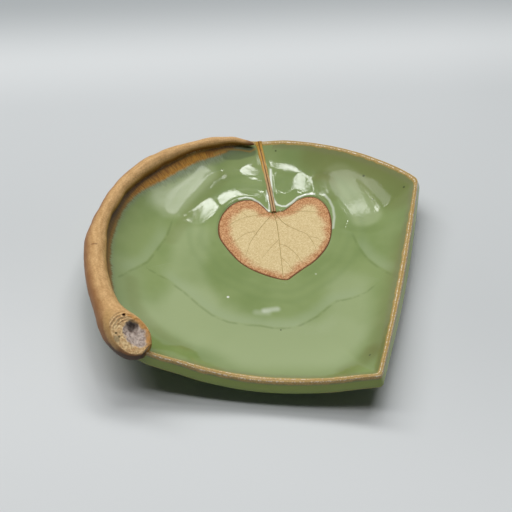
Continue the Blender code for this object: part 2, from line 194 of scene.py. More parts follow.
# %% A finish: one material and the nodes in it
class Finish:
    """A material, with one method that adds any node to it."""

    def __init__(self, name):
        self.material = bpy.data.materials.new(name)
        self.material.use_nodes = True
        self.tree = self.material.node_tree
        self.shader = self.tree.nodes["Principled BSDF"]

    def node(self, kind, settings, values, output=0):
        """Add a node: its settings first, then the values or wires of its sockets."""
        made = self.tree.nodes.new(kind)
        for name, setting in settings.items():
            setattr(made, name, setting)
        for name, value in values.items():
            self.feed(made.inputs[name], value)
        return Wire(self, made.outputs[output])

    def feed(self, socket, value):
        if isinstance(value, Wire):
            self.tree.links.new(value.socket, socket)
        else:
            socket.default_value = value

    def set(self, **values):
        """Set or wire the shader's own sockets, with _ for the spaces in their names."""
        for name, value in values.items():
            self.feed(self.shader.inputs[name.replace('_', ' ')], value)


# %% [markdown]
# Colours are easiest to judge as they look on a screen, from 0 to 255. Blender's sockets want them as
# amounts of light, so `paint` converts them. More short helpers give the things that nearly every finish
# here needs: a place in millimetres, one of its three numbers, how far the surface faces up, a number
# stored on the mesh, noise, a soft step or band, one colour laid over another, and fine bumps.

# %% Colours, places and noise
def paint(red, green, blue):
    """A colour as it looks on a screen, given as amounts of light."""
    amounts = [value / 255 for value in (red, green, blue)]
    return (*[v / 12.92 if v <= 0.04045 else ((v + 0.055) / 1.055) ** 2.4 for v in amounts], 1)


def place_in_mm(finish):
    """The place on the object in millimetres."""
    place = finish.node('ShaderNodeTexCoord', {}, {}, 'Object')
    return finish.node('ShaderNodeVectorMath', {'operation': 'SCALE'}, {0: place, 'Scale': 1 / MM})


def axis(finish, vector, name):
    """The X, Y or Z of a place or a direction."""
    return finish.node('ShaderNodeSeparateXYZ', {}, {0: vector}, name)


def facing_up(finish):
    """How far the surface faces up: 1 where it lies level, 0 where it stands upright."""
    return axis(finish, finish.node('ShaderNodeNewGeometry', {}, {}, 'Normal'), 'Z')


def stored(finish, name):
    """A number that was stored on the mesh's points under that name."""
    return finish.node('ShaderNodeAttribute', {'attribute_name': name}, {}, 'Fac')


def grain(finish, place, size, detail):
    """Noise from 0 to 1, whose lumps are about size across."""
    return finish.node('ShaderNodeTexNoise', {},
                       {'Vector': place, 'Scale': 1 / size, 'Detail': detail}, 'Fac')


# %% Steps, blends and bumps
def step(finish, value, low, high):
    """0 below low, 1 above high, and a smooth slope between. With low above high it falls instead."""
    rising = high > low
    return finish.node('ShaderNodeMapRange', {'interpolation_type': 'SMOOTHSTEP', 'clamp': True},
                       {'Value': value, 'From Min': min(low, high), 'From Max': max(low, high),
                        'To Min': 0.0 if rising else 1.0, 'To Max': 1.0 if rising else 0.0})


def band(finish, value, middle, half):
    """1 at the middle, falling smoothly to 0 at half on both sides."""
    return step(finish, abs(value - middle), half, 0)


def blend(finish, amount, under, over):
    """The colour over laid on the colour under, by an amount from 0 to 1."""
    return finish.node('ShaderNodeMix', {'data_type': 'RGBA'}, {0: amount, 6: under, 7: over}, 2)


def roughen(finish, height, strength, depth):
    """Give the finish fine bumps that follow a height, up to so many millimetres deep."""
    bump = finish.node('ShaderNodeBump', {}, {'Strength': strength, 'Distance': depth * MM, 'Height': height},
                       'Normal')
    finish.set(Normal=bump)


def coat(item, finish):
    """Put a finish on a piece."""
    item.data.materials.append(finish.material)
    print(item.name, "is finished in", finish.material.name, "by", len(finish.tree.nodes), "nodes")


# %% [markdown]
# ## The table
#
# One large face is enough for it. Its colour carries painted shade in soft steps away from the camera: a
# little darker beside the dish, a touch lighter behind it, and darkest at the far side, where the light
# falls off.

# %% The table
TABLE_HALF = 3000 * MM
TABLE_PALE = paint(222, 225, 226)
TABLE_PAINTED_SHADE = paint(158, 163, 165)


def table_finish():
    finish = Finish("pale_table")
    place = place_in_mm(finish)
    across = axis(finish, place, 'X')
    back = axis(finish, place, 'Y')
    far = back - across * 0.3
    right = step(finish, across, 40, 90) * step(finish, back, 60, 160)
    # painted shade: the table is darkened beside the dish and towards the far side, where the light falls off
    shade = (step(finish, back, -100, 10) * 0.3 - step(finish, far, 118, 160) * 0.16
             + step(finish, far, 158, 225) * 0.72 + right * 0.05)
    color = blend(finish, shade, TABLE_PALE, TABLE_PAINTED_SHADE)
    finish.set(Base_Color=color, Roughness=0.9)
    finish.shader.inputs['Specular IOR Level'].default_value = 0.0
    return finish


table_mesh = bpy.data.meshes.new("table")
corners = [(x * TABLE_HALF, y * TABLE_HALF, 0) for x, y in ((-1, -1), (1, -1), (1, 1), (-1, 1))]
table_mesh.from_pydata(corners, [], [(0, 1, 2, 3)])
table = bpy.data.objects.new("table", table_mesh)
bpy.context.scene.collection.objects.link(table)
coat(table, table_finish())

# %% [markdown]
# ## The dish's outline and section
#
# Everything on the dish follows its rim, so the skin needs the same outline and section as the solid. The
# crest of the rim is an ellipse, cut by two edges of slight curve. Its height comes from a short table of
# angles. These are the solid model's own sizes, in millimetres, so that the skin fits it with no adjusting.
# The outline could also be read from the solid's mesh, but its facets are coarser than the skin's.

# %% Sizes from the solid model, in millimetres
ROUND_HALF = (75.1, 71.9)
ROUND_MIDDLE = (1.7, -2.6)
CUT_EDGES = ((50.3, 1280.0, 0.0), (62.7, 365.0, -82.6))
CORNER_POWER = 110
FLOOR_HEIGHT = 6.0
RIM_HEIGHT = 16.3
EDGE_DROP = 5.3
EDGE_LEAN = 2.3
FLOOR_FLAT_SHARE = 0.54
FOOT_SHARE = 0.58
WALL_POWER = 2.2
UNDER_POWER = 1.9
RIM_DIP = 1.0
RIM_DIP_DEGREES = 108
RIM_DIP_HALF_DEGREES = 6.0
RIM_HEIGHT_SHARES = (
    (-46, 1.05), (0, 0.84), (45, 1.04), (66, 0.94), (95, 0.89), (135, 1.01),
    (190, 1.15), (238, 1.25), (250, 1.08), (258, 0.91), (275, 0.75), (296, 0.83),
)


# %% A smooth curve through a table of values
def smooth_curve(table, column=1, turn=None):
    """A function that runs smoothly through a table's values, closed round a full turn if turn is given."""
    places = np.array([row[0] for row in table], float)
    values = np.array([row[column] for row in table], float)
    if turn:
        places = np.concatenate([places[-1:] - turn, places, places[:2] + turn])
        values = np.concatenate([values[-1:], values, values[:2]])
    else:
        places = np.concatenate([places[:1], places, places[-1:]])
        values = np.concatenate([values[:1], values, values[-1:]])

    def curve(at):
        at = np.asarray(at, float)
        at = (at - places[1]) % turn + places[1] if turn else np.clip(at, places[1], places[-2])
        low = np.clip(np.searchsorted(places[1:-2], at, side='right'), 1, len(places) - 3)
        span = places[low + 1] - places[low]
        slope_low = (values[low + 1] - values[low - 1]) / (places[low + 1] - places[low - 1])
        slope_high = (values[low + 2] - values[low]) / (places[low + 2] - places[low])
        t = (at - places[low]) / span
        return ((2 * t**3 - 3 * t**2 + 1) * values[low] + (t**3 - 2 * t**2 + t) * span * slope_low
                + (3 * t**2 - 2 * t**3) * values[low + 1] + (t**3 - t**2) * span * slope_high)

    return curve


crest_share = smooth_curve(RIM_HEIGHT_SHARES, turn=360)


# %% The outline and the section, as functions
def reach(angle, middle, half):
    """Distance from the origin to an ellipse, in the direction of angle."""
    ray = np.array([np.cos(angle) / half[0], np.sin(angle) / half[1]])
    off = np.array([middle[0] / half[0], middle[1] / half[1]])
    square = ray[0]**2 + ray[1]**2
    along = ray[0] * off[0] + ray[1] * off[1]
    return (along + np.sqrt(along**2 - square * (off @ off - 1))) / square


def crest_reach(angle):
    """Distance from the origin to the rim's crest."""
    edges = [reach(angle, ROUND_MIDDLE, ROUND_HALF)]
    for distance, radius, degrees in CUT_EDGES:
        back = distance - radius
        normal = math.radians(degrees)
        edges.append(reach(angle, (back * math.cos(normal), back * math.sin(normal)), (radius, radius)))
    edges = np.array(edges)
    least = edges.min(0)
    return least * ((least / edges) ** CORNER_POWER).sum(0) ** (-1 / CORNER_POWER)


def crest_height(angle):
    degrees = np.degrees(angle) % 360
    dip = RIM_DIP * np.exp(-((degrees - RIM_DIP_DEGREES) / RIM_DIP_HALF_DEGREES) ** 2)
    return RIM_HEIGHT * crest_share(degrees) - dip


def wall_lift(share):
    """How far up the wall a place lies, from 0 on the flat floor to 1 at the crest."""
    return np.clip((share - FLOOR_FLAT_SHARE) / (1 - FLOOR_FLAT_SHARE), 0, 1) ** WALL_POWER


def plain_height(x, y):
    """Height of the solid dish's upper surface."""
    angle = np.arctan2(y, x)
    share = np.hypot(x, y) / crest_reach(angle)
    return FLOOR_HEIGHT + (crest_height(angle) - FLOOR_HEIGHT) * wall_lift(share)


around = np.radians(np.arange(0, 360, 1.0))
print("crest, mm: reach", round(crest_reach(around).min(), 1), "to", round(crest_reach(around).max(), 1),
      "height", round(crest_height(around).min(), 1), "to", round(crest_height(around).max(), 1))

# %% [markdown]
# ## Where the leaf and its stem lie
#
# The leaf is heart-shaped, with its notch towards the back, where the stem leaves it for the rim. Its
# outline is a smooth closed curve through points given along and across the leaf. The glaze drew back from
# the leaf and from the stem in a rounded lip, so the dish's skin needs to know how far each point is from
# both. A function that measures the distance to a chain of points does for every such line here.

# %% The leaf's outline
LEAF_LENGTH = 48.4
LEAF_WIDTH = 48.2
LEAF_NOTCH = np.array([-8.2, 30.5])
LEAF_DEGREES = -69.9
LEAF_STEPS = 12
LEAF_OUTLINE_SHARES = (
    (0.0, 0.0), (-0.02, -0.045), (-0.085, -0.08), (-0.155, -0.13), (-0.188, -0.2), (-0.183, -0.285),
    (-0.145, -0.36), (-0.07, -0.43), (0.02, -0.48), (0.135, -0.51), (0.255, -0.508), (0.37, -0.468),
    (0.475, -0.42), (0.575, -0.36), (0.66, -0.28), (0.735, -0.18), (0.79, -0.08), (0.812, 0.0),
    (0.77, 0.065), (0.705, 0.155), (0.64, 0.25), (0.55, 0.34), (0.45, 0.41), (0.34, 0.455),
    (0.22, 0.482), (0.1, 0.492), (0.0, 0.482), (-0.08, 0.452), (-0.14, 0.4), (-0.16, 0.33),
    (-0.145, 0.255), (-0.105, 0.195), (-0.055, 0.14), (-0.015, 0.085), (-0.012, 0.04),
)


def closed_curve(points, steps):
    """Points along a smooth closed curve through the given ones."""
    low = np.asarray(points, float)
    before, high, after = np.roll(low, 1, 0), np.roll(low, -1, 0), np.roll(low, -2, 0)
    rows = [0.5 * (2 * low + (high - before) * t + (2 * before - 5 * low + 4 * high - after) * t**2
                   + (3 * low - before - 3 * high + after) * t**3) for t in np.arange(steps) / steps]
    return np.stack(rows, 1).reshape(-1, 2)


leaf_along = np.array([math.cos(math.radians(LEAF_DEGREES)), math.sin(math.radians(LEAF_DEGREES))])
leaf_across = np.array([-leaf_along[1], leaf_along[0]])
leaf_line = closed_curve([LEAF_NOTCH + leaf_along * a * LEAF_LENGTH + leaf_across * b * LEAF_WIDTH
                          for a, b in LEAF_OUTLINE_SHARES], LEAF_STEPS)
print("leaf outline:", len(leaf_line), "points, mm:", np.ptp(leaf_line, 0).round(1))


# %% How far a point is from a chain of points
TIE = 1e-9


def distance_to(x, y, line, closed=False):
    """Distance from points to a chain of points, and which side they are on: + to the left of its run."""
    starts = line if closed else line[:-1]
    ends = np.roll(line, -1, 0) if closed else line[1:]
    best = np.full(np.shape(x), np.inf)
    side = np.ones(np.shape(x))
    for start, end in zip(starts, ends):
        run = end - start
        t = np.clip(((x - start[0]) * run[0] + (y - start[1]) * run[1]) / (run @ run), 0, 1)
        away = np.hypot(x - start[0] - run[0] * t, y - start[1] - run[1] * t)
        turn = run[0] * (y - start[1]) - run[1] * (x - start[0])
        side = np.where(away < best - TIE, np.sign(turn), side)
        best = np.minimum(best, away)
    return best, side


# %% The stem's run
STEM_RADIUS = 1.4
STEM_TIP_SHARE = 0.7
STEM_RIM_DEGREES = 109.3
STEM_BOW = 0.8
STEM_STEPS = 61


def crest_point(degrees, inset=0.0):
    angle = np.radians(degrees)
    far = crest_reach(angle) - inset
    return np.array([far * np.cos(angle), far * np.sin(angle)])


stem_shares = np.linspace(0, 1, STEM_STEPS)
stem_run = crest_point(STEM_RIM_DEGREES) - LEAF_NOTCH
stem_side = np.array([stem_run[1], -stem_run[0]]) / np.hypot(*stem_run)
stem_line = (LEAF_NOTCH + stem_shares[:, None] * stem_run
             + STEM_BOW * np.sin(np.pi * stem_shares)[:, None] * stem_side)
print("stem, mm long from above:", round(float(np.hypot(*stem_run)), 1))

# %% [markdown]
# ## The dish's surface
#
# A potter presses the soft slab into its form with the fingers, and the fingers leave shallow marks. They
# hardly show in the shape, but a glossy glaze turns each one into a bright patch with its own outline, so
# they matter. Each mark is a line with a width, and the slope wanted there is the one that mirrors a lamp,
# or a dark part of the room, into the camera.
#
# Slopes asked for one by one don't add up to a surface. So the height is the one whose slopes come nearest
# to all of them at once, and a Fourier transform finds it quickly. Away from the marks the surface is only
# asked to be smooth and to stay near the plain wall. Pressing the marks in with a sculpting brush would be
# quicker to try, but a brush can't aim a slope at a lamp.

# %% The slope that mirrors a place in the sky
def mirror_slope(x, y, z, turn_degrees, height_degrees):
    """The slopes along X and Y that mirror that part of the sky into the camera, at each place."""
    towards = np.stack([camera.location.x / MM - x, camera.location.y / MM - y, camera.location.z / MM - z])
    towards = towards / np.linalg.norm(towards, axis=0)
    sky = direction(turn_degrees, height_degrees)
    normal = towards + np.array(sky).reshape(3, *[1] * np.ndim(x))
    return -normal[0] / normal[2], -normal[1] / normal[2]


def near_line(x, y, line, half, soft):
    """1 within half of a line, falling smoothly to 0 a further soft away from it."""
    away, _ = distance_to(x, y, np.array(line, float))
    weight = np.clip((half + soft - away) / soft, 0, 1)
    return weight**2 * (3 - 2 * weight)


# %% The finger marks
SHADE_GAP = (183, 65)
SHADE_RIGHT = (174, 66)
SHADE_IN_RING = (187, 66)
SHADE_BY_RING = (207, 64)
SHADE_BY_OVAL = (190, 46.5)
AIM_ABOVE = (180, 76.5)
AIM_BEHIND = (186.8, 58)
AIM_LEFT = (226, 65)
AIM_LEFT_EDGE = (221, 53)
FINGER_MARKS = (
    # line, half width, softness, what it mirrors; a later mark lies over an earlier one
    (((-24.0, 43.8), (-14.5, 44.0)), 2.0, 1.5, SHADE_GAP),
    (((-22.0, 39.8), (-17.5, 40.0), (-13.5, 38.6), (-10.5, 36.0)), 1.1, 1.2, SHADE_GAP),
    (((-35.5, 45.5), (-38.6, 42.0), (-42.0, 32.0), (-45.0, 21.0)), 0.9, 1.2, SHADE_RIGHT),
    (((-28.0, 36.0), (-31.0, 31.0)), 0.7, 1.4, AIM_BEHIND),
    (((-35.5, 26.5), (-38.2, 20.0)), 3.2, 2.0, AIM_BEHIND),
    (((-25.3, 50.2), (-21.4, 50.8)), 1.7, 1.0, AIM_ABOVE),
    (((-17.8, 49.5), (-17.2, 53.5)), 0.6, 0.9, SHADE_GAP),
    (((-9.5, 50.0), (-6.5, 45.5)), 1.8, 1.5, SHADE_IN_RING),
    (((7.0, 53.5), (8.6, 47.0)), 2.2, 1.2, SHADE_BY_RING),
    (((10.5, 53.5), (12.3, 46.5)), 1.9, 1.4, SHADE_BY_RING),
    (((11.0, 42.0), (15.5, 38.5), (20.0, 31.5)), 1.2, 2.0, SHADE_BY_OVAL),
    (((-1.0, 53.0), (2.4, 46.8)), 2.1, 1.0, LAMP_RING),
    (((-43.0, 45.0), (-46.0, 34.5)), 1.0, 1.4, LAMP_RIGHT),
    (((-47.3, 32.5), (-50.0, 20.5)), 1.8, 1.4, LAMP_RIGHT),
    (((16.5, 52.0), (24.0, 44.0), (29.5, 35.5)), 3.4, 3.0, AIM_LEFT),
    (((25.0, 30.0), (36.0, 29.4)), 1.6, 1.6, AIM_LEFT_EDGE),
)
print("finger marks:", len(FINGER_MARKS))

# %% The surface whose slopes come nearest to the marks'
FIELD_STEP = 0.4
FIELD_LOW = (-90.0, -85.0)
FIELD_COUNT = (384, 432)
STAY_NEAR = 1 / 14.0**2
MEND_ROUNDS = 40
KEPT_SHARE = 0.9


def pressed_field():
    """How far the marks raise or lower the wall, on a square grid of places."""
    lines = [FIELD_LOW[i] + FIELD_STEP * np.arange(FIELD_COUNT[i]) for i in (0, 1)]
    x, y = np.meshgrid(*lines, indexing='ij')
    wall = plain_height(x, y)
    wall_slope = np.gradient(wall, FIELD_STEP)
    waves = [2 * np.pi * np.fft.fftfreq(count, FIELD_STEP) for count in FIELD_COUNT]
    wave = np.meshgrid(*waves, indexing='ij')
    wanted = np.zeros((2, *x.shape))
    firm = np.zeros(x.shape)
    for line, half, soft, sky in FINGER_MARKS:
        weight = near_line(x, y, line, half, soft)
        wanted += weight * (np.array(mirror_slope(x, y, wall, *sky)) - wall_slope - wanted)
        firm = np.maximum(firm, weight)
    slope = np.zeros_like(wanted)
    for _ in range(MEND_ROUNDS):
        asked = firm * wanted + (1 - firm) * KEPT_SHARE * slope
        pull = sum(1j * wave[i] * np.fft.fft2(asked[i]) for i in (0, 1))
        raised = -np.fft.ifft2(pull / (wave[0]**2 + wave[1]**2 + STAY_NEAR)).real
        slope = np.array(np.gradient(raised, FIELD_STEP))
    return raised


raised = pressed_field()
print("finger marks raise or lower the wall by, mm:", raised.max().round(2), raised.min().round(2))


# %% Read the surface between its grid's places
def cubic_weights(t):
    """How much each of the four nearest places counts, at a share t between the middle two."""
    return np.array([-t + 2 * t**2 - t**3, 2 - 5 * t**2 + 3 * t**3, t + 4 * t**2 - 3 * t**3, t**3 - t**2]) / 2


def read_field(field, x, y):
    """The value of a field at any place, smoothly between its grid's places."""
    at_x = (np.asarray(x, float) - FIELD_LOW[0]) / FIELD_STEP
    at_y = (np.asarray(y, float) - FIELD_LOW[1]) / FIELD_STEP
    column = np.clip(at_x.astype(int), 1, FIELD_COUNT[0] - 3)
    row = np.clip(at_y.astype(int), 1, FIELD_COUNT[1] - 3)
    along_x, along_y = cubic_weights(at_x - column), cubic_weights(at_y - row)
    return sum(along_x[i] * along_y[j] * field[column + i - 1, row + j - 1]
               for i in range(4) for j in range(4))


print("raised at the leaf's notch by, mm:", read_field(raised, *LEAF_NOTCH).round(3))

# %% [markdown]
# The slab creased a little where it was pressed down, and each crease is painted as the edge of a reflection:
# a fine darker line with a paler side. The glaze drew back from the bare clay of the leaf, and from the stem,
# in a rounded lip. The lip is in the surface, because it catches the light; the creases are painted
# reflection.

# %% Crease reflections and the lip of the glaze
CREASE_REFLECTIONS = (
    ((-58.7, -25.4), (-55.7, -18.4), (-51.5, -10.8), (-49.8, -2.4), (-48.3, 5.4), (-48.5, 14.0)),
    ((-49.4, -14.8), (-42.6, -16.9), (-32.8, -22.6), (-25.2, -28.0), (-19.5, -31.4), (-12.6, -33.5),
     (-5.8, -33.4), (-0.1, -32.6), (5.4, -32.7), (9.6, -31.8), (13.6, -30.4), (16.9, -27.2), (20.7, -23.0),
     (24.3, -16.8), (26.6, -13.6), (29.4, -12.3), (32.9, -10.5), (37.2, -7.8), (39.6, -4.5)),
    ((26.2, 25.9), (29.9, 18.2), (34.5, 11.6), (39.8, 6.3), (44.3, 2.2), (48.0, -1.1)),
)
LIP_HEIGHT = 0.03
LIP_PLACE = 1.3
LIP_HALF = 0.8
LIP_DROP = 0.38
LIP_DROP_HALF = 0.55
STEM_LIP_SHARE = 0.4
MARK_FADE_SHARE = 0.07


def glaze_lip(away):
    """The rounded lip where the glaze drew back: its height at a distance from what it drew back from."""
    lip = LIP_HEIGHT * np.exp(-((away - LIP_PLACE) / LIP_HALF) ** 2)
    return lip - LIP_DROP * np.exp(-(away / LIP_DROP_HALF) ** 2)


def dish_height(x, y):
    """Height of the glazed surface at a place."""
    share = np.hypot(x, y) / crest_reach(np.arctan2(y, x))
    z = plain_height(x, y) + read_field(raised, x, y) * np.clip((1 - share) / MARK_FADE_SHARE, 0, 1)
    away, _ = distance_to(x, y, leaf_line, closed=True)
    z = z + glaze_lip(away)
    away, _ = distance_to(x, y, stem_line)
    return z + STEM_LIP_SHARE * glaze_lip(np.maximum(away - STEM_RADIUS, 0))


print("creases, mm long:", [round(float(np.hypot(*np.diff(line, axis=0).T).sum())) for line in CREASE_REFLECTIONS])

# %% [markdown]
# ## The dish's skin
#
# The skin is a net of rings. The inmost follows the leaf's outline and the outmost follows the rim, and
# those between change from one to the other, so that the net is fine where the detail is. Outside the rim
# the rings go on over the rounded edge, down the cut face, and in under the dish to its foot.
#
# A subdivided block or a sculpt could give this shape too, but rings keep every point's place along and
# across the rim, and the glaze follows those.

# %% Rays from the leaf out to the rim
RAYS = 720
FARTHEST = 200.0
HALVINGS = 40
LEAF_MIDDLE_SHARE = 0.28
LEAF_MIDDLE = LEAF_NOTCH + leaf_along * LEAF_MIDDLE_SHARE * LEAF_LENGTH
ray_angles = np.linspace(0, 2 * np.pi, RAYS, endpoint=False)
rays = np.stack([np.cos(ray_angles), np.sin(ray_angles)], 1)


def reach_along_rays(line):
    """How far each ray runs from the leaf's middle to a closed chain of points round it."""
    off = line - LEAF_MIDDLE
    angles = np.arctan2(off[:, 1], off[:, 0]) % (2 * np.pi)
    order = np.argsort(angles)
    return np.interp(ray_angles, angles[order], np.hypot(off[:, 0], off[:, 1])[order], period=2 * np.pi)


leaf_reaches = reach_along_rays(leaf_line)
near, far = np.zeros(RAYS), np.full(RAYS, FARTHEST)
for _ in range(HALVINGS):
    middle = (near + far) / 2
    point = LEAF_MIDDLE + rays * middle[:, None]
    inside = np.hypot(point[:, 0], point[:, 1]) < crest_reach(np.arctan2(point[:, 1], point[:, 0]))
    near, far = np.where(inside, middle, near), np.where(inside, far, middle)
crest_points = LEAF_MIDDLE + rays * near[:, None]
crest_angles = np.arctan2(crest_points[:, 1], crest_points[:, 0])
outward = np.stack([np.cos(crest_angles), np.sin(crest_angles)], 1)
crest_heights = crest_height(crest_angles)
print("rays:", RAYS, "crest points, mm apart:", np.hypot(*np.diff(crest_points, axis=0).T).mean().round(2))


# %% Fine unevenness
def ripple(points, size, seed=0.0):
    """Smooth noise from -1 to 1 at each of a set of points, with lumps about size across."""
    return np.array([noise.noise(Vector((p[0] / size + seed, p[1] / size, p[-1] / size))) for p in points])


def ripples(points, layers):
    """Layers of that noise added up, each given by its height, its size and its seed."""
    return sum(height * ripple(points, size, seed) for height, size, seed in layers)


# %% The rings on top
TOP_EDGE_INSET = 1.5
RECESS_DEPTH = 1.6
RECESS_LEDGE = 1.0
RECESS_GAP = 0.02
LIP_STEPS = (0.05, 0.14, 0.24, 0.34, 0.45, 0.57, 0.7, 0.85, 1.0, 1.2, 1.4, 1.65, 1.9, 2.2, 2.6)
WALL_RINGS = 96
rings = []
ring_insets = []


def add_ring(x, y, z, inset):
    rings.append(np.stack([x, y, z], 1))
    ring_insets.append(np.broadcast_to(inset, (RAYS,)).astype(float))


def add_top_ring(points, z=None):
    x, y = points[:, 0], points[:, 1]
    reach_here = crest_reach(np.arctan2(y, x))
    add_ring(x, y, dish_height(x, y) if z is None else z, reach_here - np.hypot(x, y))


leaf_edge = LEAF_MIDDLE + rays * leaf_reaches[:, None]
recess_floor = plain_height(*leaf_edge.T) - RECESS_DEPTH
add_top_ring(leaf_edge - rays * RECESS_LEDGE, recess_floor)
add_top_ring(leaf_edge + rays * RECESS_GAP, recess_floor)
for grown in LIP_STEPS:
    add_top_ring(leaf_edge + rays * grown)
wall_start = leaf_edge + rays * LIP_STEPS[-1]
wall_end = crest_points - outward * TOP_EDGE_INSET
for share in (np.arange(WALL_RINGS) + 1) / WALL_RINGS:
    add_top_ring(wall_start + (wall_end - wall_start) * share)
print("rings on top:", len(rings))

# %% [markdown]
# The rim is rounded, with two fine raised lines where the glaze ran thin over the corners. Its section is
# drawn once with points a fraction of a millimetre apart, and each ray places it at its own height. It
# bends over the crest, runs down the leaning face, and tucks in at the bottom. A bevel would round the rim
# too, but it couldn't raise the two lines.

# %% The rim's section
def curve_through(start, corner, end, count):
    """Points on a smooth bend from start to end that is drawn towards a corner, without its start."""
    t = (np.arange(count) + 1)[:, None] / count
    return (1 - t)**2 * start + 2 * t * (1 - t) * corner + t**2 * end


UPPER_CORNER = 0.25
UPPER_DROP = 1.5
FACE_LEAN_SHARE = 0.83
LOWER_RISE = 0.9
LOWER_TUCK = (1.1, 0.45)
UPPER_POINTS, FACE_POINTS, LOWER_POINTS = 12, 8, 7
FIRST_GAP = 0.15
upper_end = np.array([UPPER_DROP * EDGE_LEAN / EDGE_DROP, -UPPER_DROP])
face_end = np.array([EDGE_LEAN * FACE_LEAN_SHARE, LOWER_RISE - EDGE_DROP])
lower_end = np.array([EDGE_LEAN - LOWER_TUCK[0], -EDGE_DROP - LOWER_TUCK[1]])
upper_bend = curve_through(np.array([-TOP_EDGE_INSET, 0.0]), np.array([UPPER_CORNER, 0.0]), upper_end,
                           UPPER_POINTS)
face = np.linspace(upper_end, face_end, FACE_POINTS + 1)[1:]
lower_bend = curve_through(face_end, np.array([EDGE_LEAN, -EDGE_DROP]), lower_end, LOWER_POINTS)
section = np.concatenate([upper_bend, face, lower_bend])
section_run = np.concatenate([[0], np.cumsum(np.hypot(*np.diff(section, axis=0).T))]) + FIRST_GAP
crest_run = section_run[np.argmin(np.hypot(section[:, 0], section[:, 1]))]
print("rim section:", len(section), "points, run in mm:", section_run[-1].round(1))

# %% The rings over the rim and down the cut face
RIM_WANDER = ((0.35, 9.0, 0.0), (0.12, 2.5, 0.0))  # each layer's height, size and seed
RIDGE_WANDER_SHARE = 0.3
RIM_WANDER_HEIGHT = 0.1
RIM_RIDGES = ((-0.75, 0.13, 0.24), (0.55, 0.15, 0.26))  # place beyond the crest, height, half width
RIDGE_OUT_SHARE = 0.35
RIDGE_UP_SHARE = 0.9
TOP_FALL_POWER = 1.3
top_fall = rings[-1][:, 2] - crest_heights
for (beyond, drop), run in zip(section, section_run):
    rim_point = crest_points + outward * beyond
    z = crest_heights + drop + top_fall * np.clip(-beyond / TOP_EDGE_INSET, 0, 1) ** TOP_FALL_POWER
    rim_place = np.column_stack([rim_point, z])
    wander = ripples(rim_place, RIM_WANDER)
    beyond_crest = run - crest_run + RIDGE_WANDER_SHARE * wander
    ridge = sum(height * np.exp(-((beyond_crest - place) / half) ** 2) for place, height, half in RIM_RIDGES)
    lift = ridge + RIM_WANDER_HEIGHT * wander
    rim_point = rim_point + outward * (RIDGE_OUT_SHARE * lift)[:, None]
    add_ring(rim_point[:, 0], rim_point[:, 1], z + RIDGE_UP_SHARE * lift, crest_run - run)
print("rings to the lower corner:", len(rings))

# %% The rings underneath, in to the foot
UNDER_STEPS = 22
UNDER_INSET = -12.0
UNDER_START_SHARE = 0.02
outer = ROUND_HALF[1] + EDGE_LEAN
for place in range(1, UNDER_STEPS + 1):
    inwards = UNDER_START_SHARE + (1 - UNDER_START_SHARE) * place / UNDER_STEPS
    share = 1 - (1 - FOOT_SHARE) * inwards
    radius = outer * share
    far = crest_reach(crest_angles) * min(radius / ROUND_HALF[1], 1) + max(radius - ROUND_HALF[1], 0)
    lift = ((share - FOOT_SHARE) / (1 - FOOT_SHARE)) ** UNDER_POWER if share > FOOT_SHARE else 0.0
    z = (RIM_HEIGHT - EDGE_DROP) * lift + (crest_heights - RIM_HEIGHT) * wall_lift(radius / ROUND_HALF[1])
    add_ring(far * outward[:, 0], far * outward[:, 1], np.maximum(z, 0), UNDER_INSET - place)
print("rings in all:", len(rings))


# %% Make a mesh from rings
SHARP_DEGREES = 50


def add_mesh(name, points, faces):
    """A smooth closed mesh in the scene, from points in millimetres, with every face turned outwards."""
    mesh = bpy.data.meshes.new(name)
    mesh.from_pydata([tuple(point) for point in np.array(points) * MM], [], faces)
    mesh.validate()
    mesh.shade_smooth()
    cage = bmesh.new()
    cage.from_mesh(mesh)
    bmesh.ops.recalc_face_normals(cage, faces=cage.faces)
    cage.to_mesh(mesh)
    cage.free()
    item = bpy.data.objects.new(name, mesh)
    bpy.context.scene.collection.objects.link(item)
    return item


def net(name, rings):
    """A mesh from rings of equally many points, with a middle point to close each end."""
    count = len(rings[0])
    faces = []
    for row in range(len(rings) - 1):
        low, high = row * count, (row + 1) * count
        for i in range(count):
            j = (i + 1) % count
            faces.append((low + i, low + j, high + j, high + i))
    middle = len(rings) * count
    last = middle - count
    for i in range(count):
        j = (i + 1) % count
        faces.append((middle, j, i))
        faces.append((middle + 1, last + i, last + j))
    item = add_mesh(name, np.concatenate([*rings, [rings[0].mean(0), rings[-1].mean(0)]]), faces)
    item.data.set_sharp_from_angle(angle=math.radians(SHARP_DEGREES))
    return item


def store(item, name, values):
    """Store a number for each point of a mesh, 0 for the middle points that close its ends."""
    held = np.zeros(len(item.data.vertices), np.float32)
    held[:len(values)] = values
    item.data.attributes.new(name, 'FLOAT', 'POINT').data.foreach_set('value', held)


# %% The dish's skin
dish = net("glazed_dish", rings)
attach(dish, "root")
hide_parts("dish_slab")
print("dish skin:", len(dish.data.vertices), "points")

# %% [markdown]
# ## The twig
#
# The twig is a coil of clay, rolled thin at one end. It saddles the rim from a dark tip beside the stem to
# a thick end, cut at a slant, where it swells like a sawn branch. One run of places with a radius at each
# gives both the coil and its thick end, so that they join without a step.

# %% The twig's run
TWIG_RADIUS = 4.6
TWIG_LIFT_SHARE = 0.62
TWIG_TIP_DIP = 0.3
TWIG_TIP_HALF_DEGREES = 4.0
TWIG_START_DEGREES = 110.9
TWIG_END_DEGREES = 222.5
TWIG_SHARES = (
    (111, 0.22, 0.6), (115, 0.27, 0.42), (119, 0.38, 0.17), (126, 0.47, 0.05), (133, 0.45, -0.08),
    (140, 0.52, -0.08), (148, 0.62, -0.08), (157, 0.6, -0.04), (167, 0.66, 0.06), (177, 0.69, 0.28),
    (187, 0.79, 0.37), (196, 0.92, 0.44), (205, 0.98, 0.42), (215, 1.0, 0.24), (226, 1.08, -0.16),
)
twig_radius_share = smooth_curve(TWIG_SHARES, 1)
twig_inset_share = smooth_curve(TWIG_SHARES, 2)


